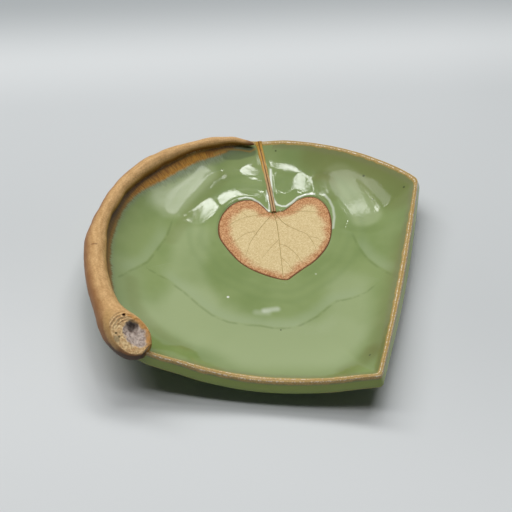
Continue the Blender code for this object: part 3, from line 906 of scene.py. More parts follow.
def twig_places(degrees):
    """The twig's middle and its radius, at angles round the dish."""
    angle = np.radians(degrees)
    radius = TWIG_RADIUS * twig_radius_share(degrees)
    far = crest_reach(angle) - TWIG_RADIUS * twig_inset_share(degrees)
    dip = TWIG_TIP_DIP * np.exp(-((degrees - TWIG_START_DEGREES) / TWIG_TIP_HALF_DEGREES) ** 2)
    return np.stack([far * np.cos(angle), far * np.sin(angle),
                     crest_height(angle) + radius * TWIG_LIFT_SHARE - dip], 1), radius


# %% The thick end's run
KNOT_GAP = 0.3
KNOT_LENGTH = 25.2
KNOT_RADIUS = 7.5
KNOT_TURN_DEGREES = 19
KNOT_DIP = 3.4
KNOT_SHARES = (
    (0.0, 0.64), (0.15, 0.71), (0.32, 0.84), (0.5, 0.96), (0.68, 1.0), (0.84, 0.9), (0.94, 0.67), (1.0, 0.42),
)
knot_radius_share = smooth_curve(KNOT_SHARES)
twig_ends, _ = twig_places(np.array([TWIG_END_DEGREES - 1, TWIG_END_DEGREES]))
twig_end = Vector(twig_ends[1])
ahead = Vector(twig_ends[1] - twig_ends[0]).normalized()
turned = Matrix.Rotation(math.radians(KNOT_TURN_DEGREES), 3, 'Z') @ ahead


def knot_places(shares):
    """The thick end's middle and its radius, from the coil on to its tip."""
    rows = [twig_end + ahead * KNOT_GAP + ahead.lerp(turned, share) * (KNOT_LENGTH * share)
            - Vector((0, 0, KNOT_DIP * share**2)) for share in shares]
    return np.array(rows), KNOT_RADIUS * knot_radius_share(shares)


print("thick end begins at, mm:", [round(v, 1) for v in twig_end])

# %% [markdown]
# The glaze near the twig follows it: it burnt amber where it is thinnest, beside the coil, then broke into
# a greyish fringe, and below the coil's tip it stands in a small dark pool. So each point of the dish
# stores how far it is from the twig's inner side, and how wide the amber and the fringe are there.
#
# Elsewhere the glaze is more olive in broad soft patches and duller in one. Paler patches are painted
# reflection, and thin pale lines round the leaf's notch and beside the stem, with two soft patches on the
# floor, are painted highlights. Each such place is a line with a width.

# %% Where the glaze is more olive, and where painted reflection and painted highlights lie
# painted reflection: paler patches that stand for soft reflections of the light on the glaze
PALE_REFLECTION_PLACES = (
    # line, half width, softness, amount
    (((-30.0, -34.0), (0.0, -44.0), (26.0, -38.0)), 5.0, 16.0, 1.0),
    (((-38.0, 8.0), (-36.0, -10.0), (-28.0, -24.0)), 4.0, 8.0, 0.6),
    (((30.0, -6.0), (34.0, -26.0)), 4.0, 10.0, 0.6),
    (((15.0, 55.0), (22.0, 50.0), (30.0, 37.0)), 5.0, 4.0, 0.75),
    (((-57.0, 30.0), (-52.0, 22.0), (-42.0, 43.0)), 3.0, 6.0, 0.8),
    (((-59.0, -18.0), (-53.0, -32.0), (-46.0, -42.0)), 3.0, 8.0, 0.45),
)
OLIVE_PLACES = (
    (((5.0, 62.0), (25.0, 60.0), (42.0, 46.0)), 4.0, 9.0, 0.42),
    (((9.0, 52.0), (13.0, 46.0)), 3.0, 4.0, 0.35),
    (((36.0, -52.0), (40.5, -45.4), (43.5, -40.5)), 1.0, 4.5, 0.32),
    (((49.0, 20.0), (47.0, -40.0)), 1.0, 8.0, 0.3),
    (((-34.0, 44.0), (-42.0, 24.0), (-46.0, 5.0)), 1.5, 4.0, 0.3),
    (((-54.0, -24.0), (-48.5, -36.5), (-41.0, -44.0), (-34.0, -48.5), (-24.0, -52.0)), 0.8, 4.5, 0.3),
)
# painted highlights: thin pale lines where the glaze's lip catches the light, and two soft patches on the
# floor
PAINTED_HIGHLIGHT_PLACES = (
    (((-14.7, 54.0), (-13.4, 48.7), (-11.9, 43.4), (-10.3, 39.0), (-8.0, 35.8), (-5.7, 35.0),
      (-3.9, 35.3), (-1.9, 38.3), (0.0, 41.9), (3.0, 44.3), (6.5, 45.3)), 0.15, 0.55, 1.0),
    (((-24.5, 34.9), (-21.9, 36.8), (-19.0, 36.8), (-15.6, 35.2), (-12.8, 32.7), (-10.4, 30.9)),
     0.15, 0.5, 0.8),
    (((-10.4, 31.5), (-11.4, 36.2), (-13.3, 40.0)), 0.15, 0.5, 0.7),
    (((11.0, 45.6), (13.6, 42.9), (15.9, 38.8), (17.4, 33.5), (18.0, 27.0)), 0.1, 0.8, 0.5),
    (((-13.4, 42.6), (-12.4, 38.6)), 0.2, 1.1, 0.8),
    (((0.0, -24.6), (4.6, -22.8)), 0.2, 1.8, 0.4),
    (((-3.0, -26.2), (1.5, -25.6)), 0.2, 2.0, 0.18),
)


def summed(places, x, y):
    """The amounts of all the places given, added up at each point."""
    return sum(amount * near_line(x, y, line, half, soft) for line, half, soft, amount in places)


# %% How far each point is from the rim and from the twig
AMBER_WIDTHS = (
    (105, 0.0), (114, 0.0), (118, 0.3), (122, 1.3), (126, 2.2), (132, 2.9), (140, 3.5), (146, 3.6),
    (152, 3.3), (158, 2.4), (164, 1.5), (172, 1.0), (185, 0.9), (205, 0.9), (225, 0.5),
)
FRINGE_WIDTHS = (
    (105, 0.0), (113, 0.4), (118, 1.8), (124, 4.4), (131, 5.8), (139, 6.4), (147, 6.0), (156, 4.2),
    (165, 2.6), (173, 1.7), (180, 1.4), (190, 1.4), (205, 1.2), (222, 0.6), (235, 0.0),
)
BESIDE_TWIG_DEGREES = (104, 240)
NO_TWIG = 30.0
all_points = np.concatenate(rings)
point_x, point_y = all_points[:, 0], all_points[:, 1]
turns = np.degrees(np.arctan2(point_y, point_x)) % 360
insets = np.concatenate(ring_insets)
twig_inner = TWIG_RADIUS * (twig_inset_share(turns) + twig_radius_share(turns))
beside_twig = (turns > BESIDE_TWIG_DEGREES[0]) & (turns < BESIDE_TWIG_DEGREES[1])
wall_shares = 1 - np.clip(insets, 0, None) / crest_reach(np.radians(turns))
store(dish, "turn", turns)
store(dish, "inset", insets)
store(dish, "wall", wall_lift(wall_shares))
store(dish, "from_twig", np.where(beside_twig, insets - twig_inner, NO_TWIG))
store(dish, "amber_width", np.where(beside_twig, smooth_curve(AMBER_WIDTHS)(turns), 0.0))
store(dish, "fringe_width", np.where(beside_twig, smooth_curve(FRINGE_WIDTHS)(turns), 0.0))
print("points beside the twig:", beside_twig.sum())

# %% The broad patches, the beads and the pool
SATIN_PLACE = ((-46.0, 46.0), (-51.0, 32.0), (-55.0, 20.0))
POOL_PLACE = ((122.5, 5.0), (118.0, 5.6), (112.5, 4.4))
POOL_EDGE_PLACE = ((127.0, 3.6), (122.0, 2.7), (117.0, 3.6), (113.0, 4.6), (110.8, 3.4))


def from_rim(places):
    """Places given by degrees round the dish and millimetres in from the crest."""
    return [tuple(crest_point(degrees, inset)) for degrees, inset in places]


store(dish, "pale", summed(PALE_REFLECTION_PLACES, point_x, point_y))
store(dish, "olive", summed(OLIVE_PLACES, point_x, point_y))
store(dish, "painted_highlight", summed(PAINTED_HIGHLIGHT_PLACES, point_x, point_y))
store(dish, "satin", near_line(point_x, point_y, SATIN_PLACE, 4.0, 6.0))
store(dish, "pool", near_line(point_x, point_y, from_rim(POOL_PLACE), 1.7, 0.9))
store(dish, "pool_edge", near_line(point_x, point_y, from_rim(POOL_EDGE_PLACE), 0.15, 0.45))
print("broad patches:", len(PALE_REFLECTION_PLACES) + len(OLIVE_PLACES), "beads:", len(PAINTED_HIGHLIGHT_PLACES))

# %% How far each point is from the leaf and from the nearest crease reflection
CREASE_REFLECTION_FARTHEST = 50.0
leaf_away, _ = distance_to(point_x, point_y, leaf_line, closed=True)
store(dish, "from_leaf", leaf_away)
crease_reflection_away = np.full(len(all_points), CREASE_REFLECTION_FARTHEST)
crease_reflection_side = np.ones(len(all_points))
crease_reflection_from_end = np.zeros(len(all_points))
for line in CREASE_REFLECTIONS:
    away, side = distance_to(point_x, point_y, np.array(line))
    from_ends = [np.hypot(point_x - line[i][0], point_y - line[i][1]) for i in (0, -1)]
    crease_reflection_side = np.where(away < crease_reflection_away, side, crease_reflection_side)
    crease_reflection_from_end = np.where(away < crease_reflection_away, np.minimum(*from_ends), crease_reflection_from_end)
    crease_reflection_away = np.minimum(crease_reflection_away, away)
store(dish, "crease_reflection", crease_reflection_away * crease_reflection_side)
store(dish, "crease_reflection_from_end", crease_reflection_from_end)
print("numbers stored on the dish:", [a.name for a in dish.data.attributes if a.data_type == 'FLOAT'])

# %% [markdown]
# ## The glaze
#
# A celadon glaze is a green glass over pale clay. Where it pools it is deeper, and where it runs thin, over
# edges and beside the twig, the clay's iron burns through it in olive, amber and gold. It could be painted
# on an image, but a finish worked out from the numbers stored above stays sharp from close by. So it starts
# from green and lays each of these over it, with noise to break their edges.

# %% Specks, a pale spot and a painted glint in the glaze: place in mm, size in mm, colour
IRON_SPECK = paint(66, 78, 36)
PAINTED_GLINT = paint(240, 243, 232)
# the first spot is a painted glint: a near-white highlight on the glaze
GLAZE_SPOTS = (
    (-15.6, -20.9, 0.55, PAINTED_GLINT), (15.9, -1.0, 0.45, paint(184, 196, 160)),
    (26.0, 56.3, 0.55, IRON_SPECK), (44.1, 50.2, 0.5, IRON_SPECK), (32.0, 44.8, 0.35, IRON_SPECK),
    (-14.4, 63.0, 0.45, IRON_SPECK), (43.6, -42.2, 0.4, IRON_SPECK), (8.2, -32.9, 0.35, IRON_SPECK),
)


# %% What several of the glaze's colours need
class Glaze(Finish):
    """The glaze's finish, with the places, the stored numbers and the noise that its colours share."""

    def __init__(self, name):
        super().__init__(name)
        self.place = place_in_mm(self)
        self.inset = stored(self, "inset")
        self.turn = stored(self, "turn")
        self.from_twig = stored(self, "from_twig")
        self.cloud = grain(self, self.place, 22, 3)
        self.mottle = grain(self, self.place, 3.5, 3)
        self.fine = grain(self, self.place, 0.8, 2)
        self.speckle = grain(self, self.place, 0.45, 2)
        hairs = self.node('ShaderNodeCombineXYZ', {}, {0: self.turn * 1.25, 1: self.from_twig * 0.22})
        self.streaky = grain(self, hairs, 0.55, 3)


# %% The green of the floor and the walls
def floor_color(glaze):
    """Green, more olive in broad patches, with painted reflection in paler patches and at the creases, and
    faint bands round the leaf.
    """
    cloud, mottle = glaze.cloud, glaze.mottle
    green = blend(glaze, step(glaze, cloud, 0.3, 0.7), paint(124, 144, 82), paint(138, 156, 96))
    # painted reflection: the paler patches
    pale = step(glaze, stored(glaze, "pale") + cloud * 0.5, 0.2, 1.3)
    green = blend(glaze, pale, green, paint(158, 173, 124))
    olive = stored(glaze, "olive") + stored(glaze, "wall") * 0.3 + cloud * 0.3 + mottle * 0.1
    green = blend(glaze, step(glaze, olive, 0.25, 1.2) * 0.9, green, paint(112, 116, 52))
    # painted reflection: each crease is a darker line with a paler side, where the glaze's reflection changes
    crease_reflection = stored(glaze, "crease_reflection")
    line = band(glaze, crease_reflection, 0, 0.9) * step(glaze, mottle, 0.3, 0.6)
    green = blend(glaze, line * 0.35, green, paint(96, 116, 60))
    beyond = step(glaze, crease_reflection, 0.2, 1.2) * step(glaze, crease_reflection, 7, 1.5)
    beyond = beyond * step(glaze, stored(glaze, "crease_reflection_from_end"), 1, 10)
    green = blend(glaze, beyond * 0.4, green, paint(160, 176, 136))
    from_leaf = stored(glaze, "from_leaf")
    bands = glaze.node('ShaderNodeMath', {'operation': 'SINE'}, {0: from_leaf * 1.25 + cloud * 9})
    round_leaf = step(glaze, from_leaf, 2, 5) * step(glaze, from_leaf, 17, 12)
    return blend(glaze, (bands * 0.5 + 0.5) * round_leaf * 0.16, green, paint(106, 130, 72))


# %% The fringe and the amber beside the twig
def fringe_amount(glaze):
    """How much of the greyish fringe lies on each place below the coil."""
    width = stored(glaze, "fringe_width")
    away = glaze.from_twig - width + glaze.mottle * 2.0 + glaze.streaky * 2.6 - 2.3
    return step(glaze, away, 1.6, -2.0) * step(glaze, width, 0, 1.5)


def amber_amount(glaze):
    """How much of the burnt amber lies on each place beside the coil."""
    width = stored(glaze, "amber_width")
    away = glaze.from_twig - width + glaze.mottle * 1.4 + glaze.streaky * 1.2 - 1.3
    return step(glaze, away, 0.7, -0.6) * step(glaze, width, 0, 0.7)


def twig_side_color(glaze, green, fringe, amber):
    """The green, with the fringe, the pool and the amber laid over it, and painted shade beside the coil."""
    streaky = glaze.streaky
    fringe_color = blend(glaze, step(glaze, streaky, 0.35, 0.65), paint(116, 126, 98), paint(140, 150, 128))
    green = blend(glaze, fringe * 0.75, green, fringe_color)
    green = blend(glaze, stored(glaze, "pool") * 0.75, green, paint(98, 114, 74))
    amber_color = blend(glaze, step(glaze, streaky, 0.3, 0.7), paint(150, 94, 6), paint(200, 146, 44))
    # painted shade: a dark line on the glaze right beside the coil, where its shadow falls
    painted_shade = step(glaze, glaze.from_twig + glaze.mottle * 0.6 - 0.3, 0.35, -0.35)
    amber_color = blend(glaze, painted_shade * 0.6, amber_color, paint(92, 66, 8))
    narrow = step(glaze, stored(glaze, "amber_width"), 1.8, 0.9)
    amber_color = blend(glaze, narrow * 0.65, amber_color, paint(96, 76, 22))
    green = blend(glaze, amber, green, amber_color)
    return blend(glaze, stored(glaze, "pool_edge") * 0.8, green, paint(166, 134, 56))


def spotted_color(glaze, green):
    """The green, with the painted highlights, a painted glint and the small specks on it."""
    # painted highlight
    green = blend(glaze, stored(glaze, "painted_highlight"), green, paint(232, 238, 222))
    flat_place = glaze.node('ShaderNodeVectorMath', {'operation': 'MULTIPLY'},
                            {0: glaze.place, 1: (1, 1, 0)})
    for spot_x, spot_y, size, spot_color in GLAZE_SPOTS:
        away = glaze.node('ShaderNodeVectorMath', {'operation': 'DISTANCE'},
                          {0: flat_place, 1: (spot_x, spot_y, 0)}, 'Value')
        green = blend(glaze, step(glaze, away, size * 1.25, size * 0.6) * 0.85, green, spot_color)
    return green


# %% [markdown]
# On the rim the glaze is gold, with two paler lines where it ran thin over the corners. Beside the rim it
# is a dull olive, and on the cut face it is green again, deeper towards the bottom. How far a point lies
# inside or outside the crest says which it gets.

# %% The rim and the cut face
def edge_color(glaze, green):
    """The green, with the dull strip beside the rim and the cut face outside it."""
    inset, mottle, turn = glaze.inset, glaze.mottle, glaze.turn
    strip = step(glaze, inset + mottle * 1.6, 5.6, 3.2) * step(glaze, glaze.from_twig, 1, 3)
    strip_color = blend(glaze, mottle, paint(112, 114, 66), paint(138, 140, 98))
    low = step(glaze, inset + mottle * 0.8, -3.6, -6.6)
    face_color = blend(glaze, low, paint(140, 158, 68), paint(88, 112, 40))
    beside_front = step(glaze, turn, 266, 250) + step(glaze, turn, 292, 300)
    low_edge = band(glaze, inset + mottle * 0.6 - 0.3, -6.6, 2) * beside_front
    face_color = blend(glaze, low_edge * 0.9, face_color, paint(176, 128, 60))
    color = blend(glaze, strip * 0.6, green, strip_color)
    return blend(glaze, step(glaze, inset, -1.6, -2.4), color, face_color)


def gold_amount(glaze):
    """How much of the gold lies on each place of the rim."""
    ragged = glaze.inset + glaze.mottle * 1.5 - 0.3
    return step(glaze, ragged, -1.5, -0.8) * step(glaze, ragged, 2.5, 1.8)


def gold_color(glaze):
    """Gold, paler on the two thin lines and browner between them, with painted glints on the lines."""
    color = blend(glaze, step(glaze, glaze.speckle, 0.3, 0.7), paint(168, 134, 68), paint(200, 168, 100))
    wavy = glaze.inset + glaze.mottle * 0.3
    thin = band(glaze, wavy, 0.9, 0.35) + band(glaze, wavy, -0.45, 0.4)
    color = blend(glaze, thin * 0.5, color, paint(216, 188, 132))
    # painted highlight: near-white glints along the two thin lines
    painted_rim_glint = step(glaze, grain(glaze, glaze.place, 0.7, 1), 0.5, 0.6) * thin
    color = blend(glaze, painted_rim_glint * 0.9, color, paint(250, 244, 230))
    return blend(glaze, band(glaze, wavy, 0.3, 0.5) * 0.55, color, paint(140, 108, 52))


# %% The glaze put together
GLAZE_IOR = 1.52


def glaze_finish():
    glaze = Glaze("celadon_glaze")
    fringe, amber, gold = fringe_amount(glaze), amber_amount(glaze), gold_amount(glaze)
    green = spotted_color(glaze, twig_side_color(glaze, floor_color(glaze), fringe, amber))
    color = blend(glaze, gold, edge_color(glaze, green), gold_color(glaze))
    dull = gold * 0.2 + amber * 0.18 + fringe * 0.05 + stored(glaze, "satin") * 0.08
    glaze.set(Base_Color=color, Roughness=0.09 + dull)
    height = glaze.fine * 0.4 + glaze.mottle * 3.5 + gold * glaze.speckle * 2 + amber * glaze.streaky * 2
    roughen(glaze, height, 0.35, 0.03)
    glaze.shader.inputs['IOR'].default_value = GLAZE_IOR
    return glaze


coat(dish, glaze_finish())

# %% [markdown]
# ## The leaf
#
# The leaf's print is bare clay: cream in the middle, toasted orange towards its edge, with a thin dark
# outline where glaze and clay meet. It could be painted on the dish, but a skin of its own lies a little
# lower, as the bare clay does. It is again a net of rings, from the outline in to the middle.

# %% The leaf's skin
LEAF_SINK = 0.25
LEAF_GAP = 0.06
LEAF_DEPTH = 1.0
LEAF_RINGS = 46
LEAF_MIDDLE_HOLE = 0.004
LEAF_EDGE_SINK = 0.12
LEAF_EDGE_HALF = 0.5
LEAF_RIPPLE = ((0.035, 3.0, 0.0),)  # height, size, seed
leaf_inner = leaf_reaches - LEAF_GAP
leaf_rings = []
for share in np.linspace(1, LEAF_MIDDLE_HOLE, LEAF_RINGS):
    point = LEAF_MIDDLE + rays * (leaf_inner * share)[:, None]
    from_edge = leaf_inner * (1 - share)
    z = plain_height(*point.T) - LEAF_SINK - LEAF_EDGE_SINK * np.exp(-from_edge / LEAF_EDGE_HALF)
    z = z + ripples(np.column_stack([point, z]), LEAF_RIPPLE)
    leaf_rings.append(np.column_stack([point, z]))
leaf_rings.insert(0, leaf_rings[0] - np.array([0, 0, LEAF_DEPTH]))
leaf = net("leaf_print", leaf_rings)
leaf_points = np.concatenate(leaf_rings)
leaf_from_edge, _ = distance_to(leaf_points[:, 0], leaf_points[:, 1], leaf_line, closed=True)
store(leaf, "from_edge", leaf_from_edge)
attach(leaf, "root")
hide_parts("leaf")
print("leaf skin:", len(leaf.data.vertices), "points")


# %% The bare clay of the leaf
def leaf_clay_finish():
    finish = Finish("toasted_clay")
    place = place_in_mm(finish)
    from_edge = stored(finish, "from_edge")
    patch = grain(finish, place, 6, 3)
    speck = grain(finish, place, 0.5, 3)
    cells = finish.node('ShaderNodeTexVoronoi', {'feature': 'DISTANCE_TO_EDGE'},
                        {'Vector': place, 'Scale': 1.1})
    cream = blend(finish, step(finish, speck, 0.3, 0.7), paint(210, 186, 134), paint(232, 212, 164))
    cream = blend(finish, step(finish, cells, 0.09, 0.0) * 0.22, cream, paint(170, 130, 82))
    left = step(finish, axis(finish, place, 'X'), -8, -24)
    back = step(finish, axis(finish, place, 'Y'), 22, 36)
    toast = step(finish, from_edge + patch * 5.0 + speck * 2.2 - 4.2 - left * 2.2 - back * 1.6, 4.2, 0.3)
    toasted = blend(finish, step(finish, speck, 0.35, 0.65), paint(166, 102, 58), paint(216, 166, 120))
    color = blend(finish, toast * 0.9, cream, toasted)
    burnt = step(finish, from_edge + speck * 0.5 + patch * 0.6, 1.4, 0.9)
    color = blend(finish, burnt * 0.9, color, paint(104, 58, 30))
    finish.set(Base_Color=color, Roughness=0.7)
    height = speck + step(finish, cells, 0.0, 0.08) * 0.4
    roughen(finish, height, 0.5, 0.06)
    return finish


coat(leaf, leaf_clay_finish())

# %% [markdown]
# The veins pressed fine lines into the clay, and a trace of glaze and ash darkened them. They could be
# bumps in the leaf's finish, but threads keep a clean edge however thin they are. They are thickest where
# they start, and sunk until they hardly stand proud.

# %% Where the veins run
VEINS = (
    # radius at the start, and the places it runs through
    (0.2, ((-8.3, 30.7), (-4.8, 22.1), (-1.4, 10.8), (1.1, 2.5), (3.6, -5.8))),
    (0.15, ((-8.3, 30.6), (-1.6, 32.4), (5.9, 34.5), (12.7, 34.9))),
    (0.17, ((-7.8, 30.0), (-2.2, 24.8), (3.3, 22.4), (8.7, 20.1), (13.5, 13.1))),
    (0.13, ((-1.7, 12.2), (1.2, 12.0), (6.2, 8.1), (9.6, 4.1))),
    (0.15, ((-8.8, 30.4), (-15.6, 26.9), (-21.3, 23.4), (-25.7, 17.4))),
    (0.17, ((-8.5, 29.5), (-11.0, 22.4), (-13.0, 15.2), (-13.9, 10.0), (-14.0, 2.5))),
    (0.11, ((-13.5, 17.5), (-16.9, 15.5), (-20.0, 10.6), (-22.6, 7.6))),
    (0.1, ((-2.8, 15.1), (-5.2, 9.0), (-7.3, 2.7))),
    (0.1, ((9.1, 19.6), (13.0, 19.3), (15.9, 17.0))),
    (0.1, ((0.9, 33.0), (4.3, 37.8), (6.4, 40.8))),
    (0.1, ((-18.3, 25.4), (-22.6, 28.5), (-25.5, 29.8))),
    (0.1, ((0.3, 5.2), (3.7, 2.5), (6.0, -0.5))),
)
print("veins:", len(VEINS))

# %% Threads along a run of places
THREAD_SIDES = 8


def frames_along(places):
    """The sideways and the upward direction at each place of a run."""
    along = np.gradient(places, axis=0)
    along = along / np.linalg.norm(along, axis=1)[:, None]
    side = np.cross(along, (0, 0, 1))
    side = side / np.linalg.norm(side, axis=1)[:, None]
    return side, np.cross(side, along)


def threads(name, lines, thicknesses):
    """Thin round threads in one mesh, each along its own line with its own radius at each place."""
    points, faces = [], []
    for line, thickness in zip(lines, thicknesses):
        side, up = frames_along(line)
        first, count = len(points), len(line)
        for turn in np.arange(THREAD_SIDES) * 2 * math.pi / THREAD_SIDES:
            points.extend(line + thickness[:, None] * (math.cos(turn) * side + math.sin(turn) * up))
        for k in range(THREAD_SIDES):
            here, there = first + k * count, first + (k + 1) % THREAD_SIDES * count
            faces.extend((here + i, here + i + 1, there + i + 1, there + i) for i in range(count - 1))
        for end in (0, count - 1):
            faces.append([first + k * count + end for k in range(THREAD_SIDES)])
    return add_mesh(name, points, faces)


def open_curve(points, steps):
    """Points along a smooth curve through the given ones."""
    table = [(i, *point) for i, point in enumerate(points)]
    at = np.linspace(0, len(points) - 1, steps)
    return np.stack([smooth_curve(table, column)(at) for column in range(1, len(table[0]))], 1)


# %% The veins' threads
VEIN_STEPS = 24
VEIN_TIP_SHARE = 0.45
VEIN_SUNK_SHARE = 0.35
VEIN_WANDER = 0.12
VEIN_WANDER_SIZE = 1.7
vein_lines, vein_radii = [], []
for radius, points in VEINS:
    flat = open_curve(points, VEIN_STEPS)
    flat = flat + VEIN_WANDER * np.column_stack([ripple(flat, VEIN_WANDER_SIZE, seed) for seed in (0, 9)])
    thickness = radius * np.linspace(1, VEIN_TIP_SHARE, VEIN_STEPS)
    z = plain_height(*flat.T) - LEAF_SINK - thickness * VEIN_SUNK_SHARE
    vein_lines.append(np.column_stack([flat, z]))
    vein_radii.append(thickness)
veins = threads("leaf_veins", vein_lines, vein_radii)
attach(veins, "root")
print("threads:", len(veins.data.vertices), "points")


# %% The shade in the veins
def vein_finish():
    finish = Finish("vein_shadow")
    ash = grain(finish, place_in_mm(finish), 1.5, 2)
    color = blend(finish, ash, paint(148, 124, 72), paint(182, 160, 108))
    finish.set(Base_Color=color, Roughness=0.75)
    return finish


coat(veins, vein_finish())

# %% [markdown]
# ## The stem
#
# The stem left two fine ridges with a groove between them, pinkish near the leaf and gold towards the rim,
# where the glaze is thin on their tops. Two thin curves side by side could stand for them, but their
# groove would be too sharp. So it is a net of rings along the stem's run. Each ring is an oval with the
# groove pressed into its top, and the last few close it off over the rim.

# %% The stem's skin
STEM_ROUND = 28
STEM_LIFT = 0.25
STEM_FALL = 0.85
STEM_FLATNESS = 0.6
STEM_WAVE, STEM_WAVE_TURNS = 0.06, 40
STEM_SWELL, STEM_SWELL_POWER = 0.15, 8
GROOVE_DEPTHS = (0.42, 0.12)
GROOVE_HALF = 0.26
STEM_CLOSING = ((0.35, 0.35, 0.92), (0.7, 0.95, 0.75), (1.0, 1.8, 0.5))  # out, down, share of the size
stem_places = np.column_stack([stem_line, plain_height(*stem_line.T) + STEM_LIFT - STEM_FALL * stem_shares])
stem_radii = STEM_RADIUS * (STEM_TIP_SHARE + (1 - STEM_TIP_SHARE) * stem_shares)
stem_radii = stem_radii * (1 + STEM_WAVE * np.sin(stem_shares * STEM_WAVE_TURNS))
stem_radii = stem_radii * (1 + STEM_SWELL * stem_shares**STEM_SWELL_POWER)
stem_turns = np.linspace(0, 2 * np.pi, STEM_ROUND, endpoint=False)
stem_across, stem_rise = np.cos(stem_turns), np.sin(stem_turns)
groove = np.exp(-(stem_across / GROOVE_HALF) ** 2) * (stem_rise > 0)
stem_rings = []
for place, radius, share, side, up in zip(stem_places, stem_radii, stem_shares, *frames_along(stem_places)):
    depth = GROOVE_DEPTHS[0] + (GROOVE_DEPTHS[1] - GROOVE_DEPTHS[0]) * share
    rise = stem_rise * STEM_FLATNESS - depth * groove
    stem_rings.append(place + radius * (stem_across[:, None] * side + rise[:, None] * up))
over = stem_rings[-1]
over_middle = over.mean(0)
stem_out = crest_point(STEM_RIM_DEGREES) / np.hypot(*crest_point(STEM_RIM_DEGREES))
for out, down, size in STEM_CLOSING:
    stem_rings.append(over_middle + (over - over_middle) * size + np.array([*(stem_out * out), -down]))
stem = net("stem_ridges", stem_rings)
store(stem, "across", np.tile(stem_across, len(stem_rings)))
store(stem, "share", np.repeat(np.append(stem_shares, np.ones(len(STEM_CLOSING))), STEM_ROUND))
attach(stem, "root")
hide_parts("leaf_stem")
print("stem skin:", len(stem.data.vertices), "points")


# %% The stem's clay
def stem_finish():
    finish = Finish("amber_stem")
    place = place_in_mm(finish)
    worn = grain(finish, place, 1.0, 3)
    across = stored(finish, "across")
    ridge = step(finish, abs(across), 0.08, 0.3) * step(finish, abs(across), 1.0, 0.8)
    golden = step(finish, stored(finish, "share"), 0.35, 0.8)
    top_color = blend(finish, golden, paint(190, 158, 116), paint(204, 156, 68))
    low_color = blend(finish, golden, paint(104, 66, 32), paint(118, 76, 14))
    color = blend(finish, ridge * step(finish, worn, 0.1, 0.5), low_color, top_color)
    finish.set(Base_Color=color, Roughness=0.3)
    roughen(finish, worn, 0.4, 0.05)
    return finish


coat(stem, stem_finish())

# %% [markdown]
# ## The coil and its thick end
#
# Both are swept from the same run of places: a ring of points at each, with slow lumps and a few pinches
# that show in the outline. A curve with a round bevel would make a plain rod more quickly, but here every
# point also stores its place along and round the coil, which its clay needs.

# %% The run of places for both
TWIG_STEPS = 420
KNOT_STEPS = 130
KNOT_START_SHARE = 0.012
JOIN_LENGTH = 3.0
twig_degrees = np.linspace(TWIG_START_DEGREES, TWIG_END_DEGREES, TWIG_STEPS)
twig_part, twig_part_radii = twig_places(twig_degrees)
knot_part, knot_part_radii = knot_places(np.linspace(KNOT_START_SHARE, 1, KNOT_STEPS))
run_places = np.concatenate([twig_part, knot_part])
run_radii = np.concatenate([twig_part_radii, knot_part_radii])
run_lengths = np.append(0, np.cumsum(np.linalg.norm(np.diff(run_places, axis=0), axis=1)))
knot_lengths = run_lengths[TWIG_STEPS:] - run_lengths[TWIG_STEPS]
step_at_join = run_radii[TWIG_STEPS - 1] - run_radii[TWIG_STEPS]
run_radii[TWIG_STEPS:] += step_at_join * np.exp(-knot_lengths / JOIN_LENGTH)
print("twig run, mm:", run_lengths[-1].round(1), "thick end starts at:", run_lengths[TWIG_STEPS].round(1))

# %% Where the coil was pinched or left thicker, in degrees round the dish: place, share of the radius, width
PINCHES = (
    (179.5, -0.07, 1.8), (174.5, 0.04, 3.0), (168.0, -0.07, 2.0), (162.0, 0.04, 3.5), (153.0, 0.05, 2.6),
    (147.5, -0.09, 2.2), (141.0, 0.05, 3.0), (127.0, 0.05, 2.5), (121.5, -0.06, 1.6), (149.0, 0.16, 14.0),
)
coil_radii = run_radii[:TWIG_STEPS]  # the same numbers, so that a change here changes run_radii
for degrees, amount, width in PINCHES:
    coil_radii *= 1 + amount * np.exp(-((twig_degrees - degrees) / width) ** 2)
print("coil's radius, mm:", coil_radii.min().round(2), "to", coil_radii.max().round(2))

# %% The rings of the coil and of its thick end
SWEEP_ROUND = 120
TIP_LENGTH = 3.0
LUMPS = ((0.3, 13.0, 3.0), (0.13, 5.0, 7.0), (0.04, 1.8, 0.0))  # height, size, seed
LUMP_RADIUS = 3.0
SCAR_DEGREES = 199
sweep_turns = np.linspace(0, 2 * np.pi, SWEEP_ROUND, endpoint=False)
side, up = frames_along(run_places)
outwards = (np.cos(sweep_turns)[None, :, None] * side[:, None, :]
            + np.sin(sweep_turns)[None, :, None] * up[:, None, :])
rounded_radii = run_radii * np.minimum(run_lengths / TIP_LENGTH, 1) ** 0.5
sweep = run_places[:, None, :] + rounded_radii[:, None, None] * outwards
flat_sweep = sweep.reshape(-1, 3)
lumps = ripples(flat_sweep, LUMPS)
lump_shares = np.clip(run_radii / LUMP_RADIUS, 0.3, 1.2)
sweep = sweep + outwards * (lumps.reshape(sweep.shape[:2]) * lump_shares[:, None])[..., None]
scar_along = float(np.interp(SCAR_DEGREES, twig_degrees, run_lengths[:TWIG_STEPS]))
print("sweep:", sweep.shape, "scar at, mm:", round(scar_along, 1))

# %% The coil's skin
coil_rows = TWIG_STEPS + 1
coil = net("twig", list(sweep[:coil_rows]))
store(coil, "along", np.repeat(run_lengths[:coil_rows], SWEEP_ROUND))
store(coil, "round_cos", np.tile(np.cos(sweep_turns), coil_rows))
store(coil, "round_sin", np.tile(np.sin(sweep_turns), coil_rows))
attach(coil, "root")
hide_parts("twig_coil")
print("coil skin:", len(coil.data.vertices), "points")
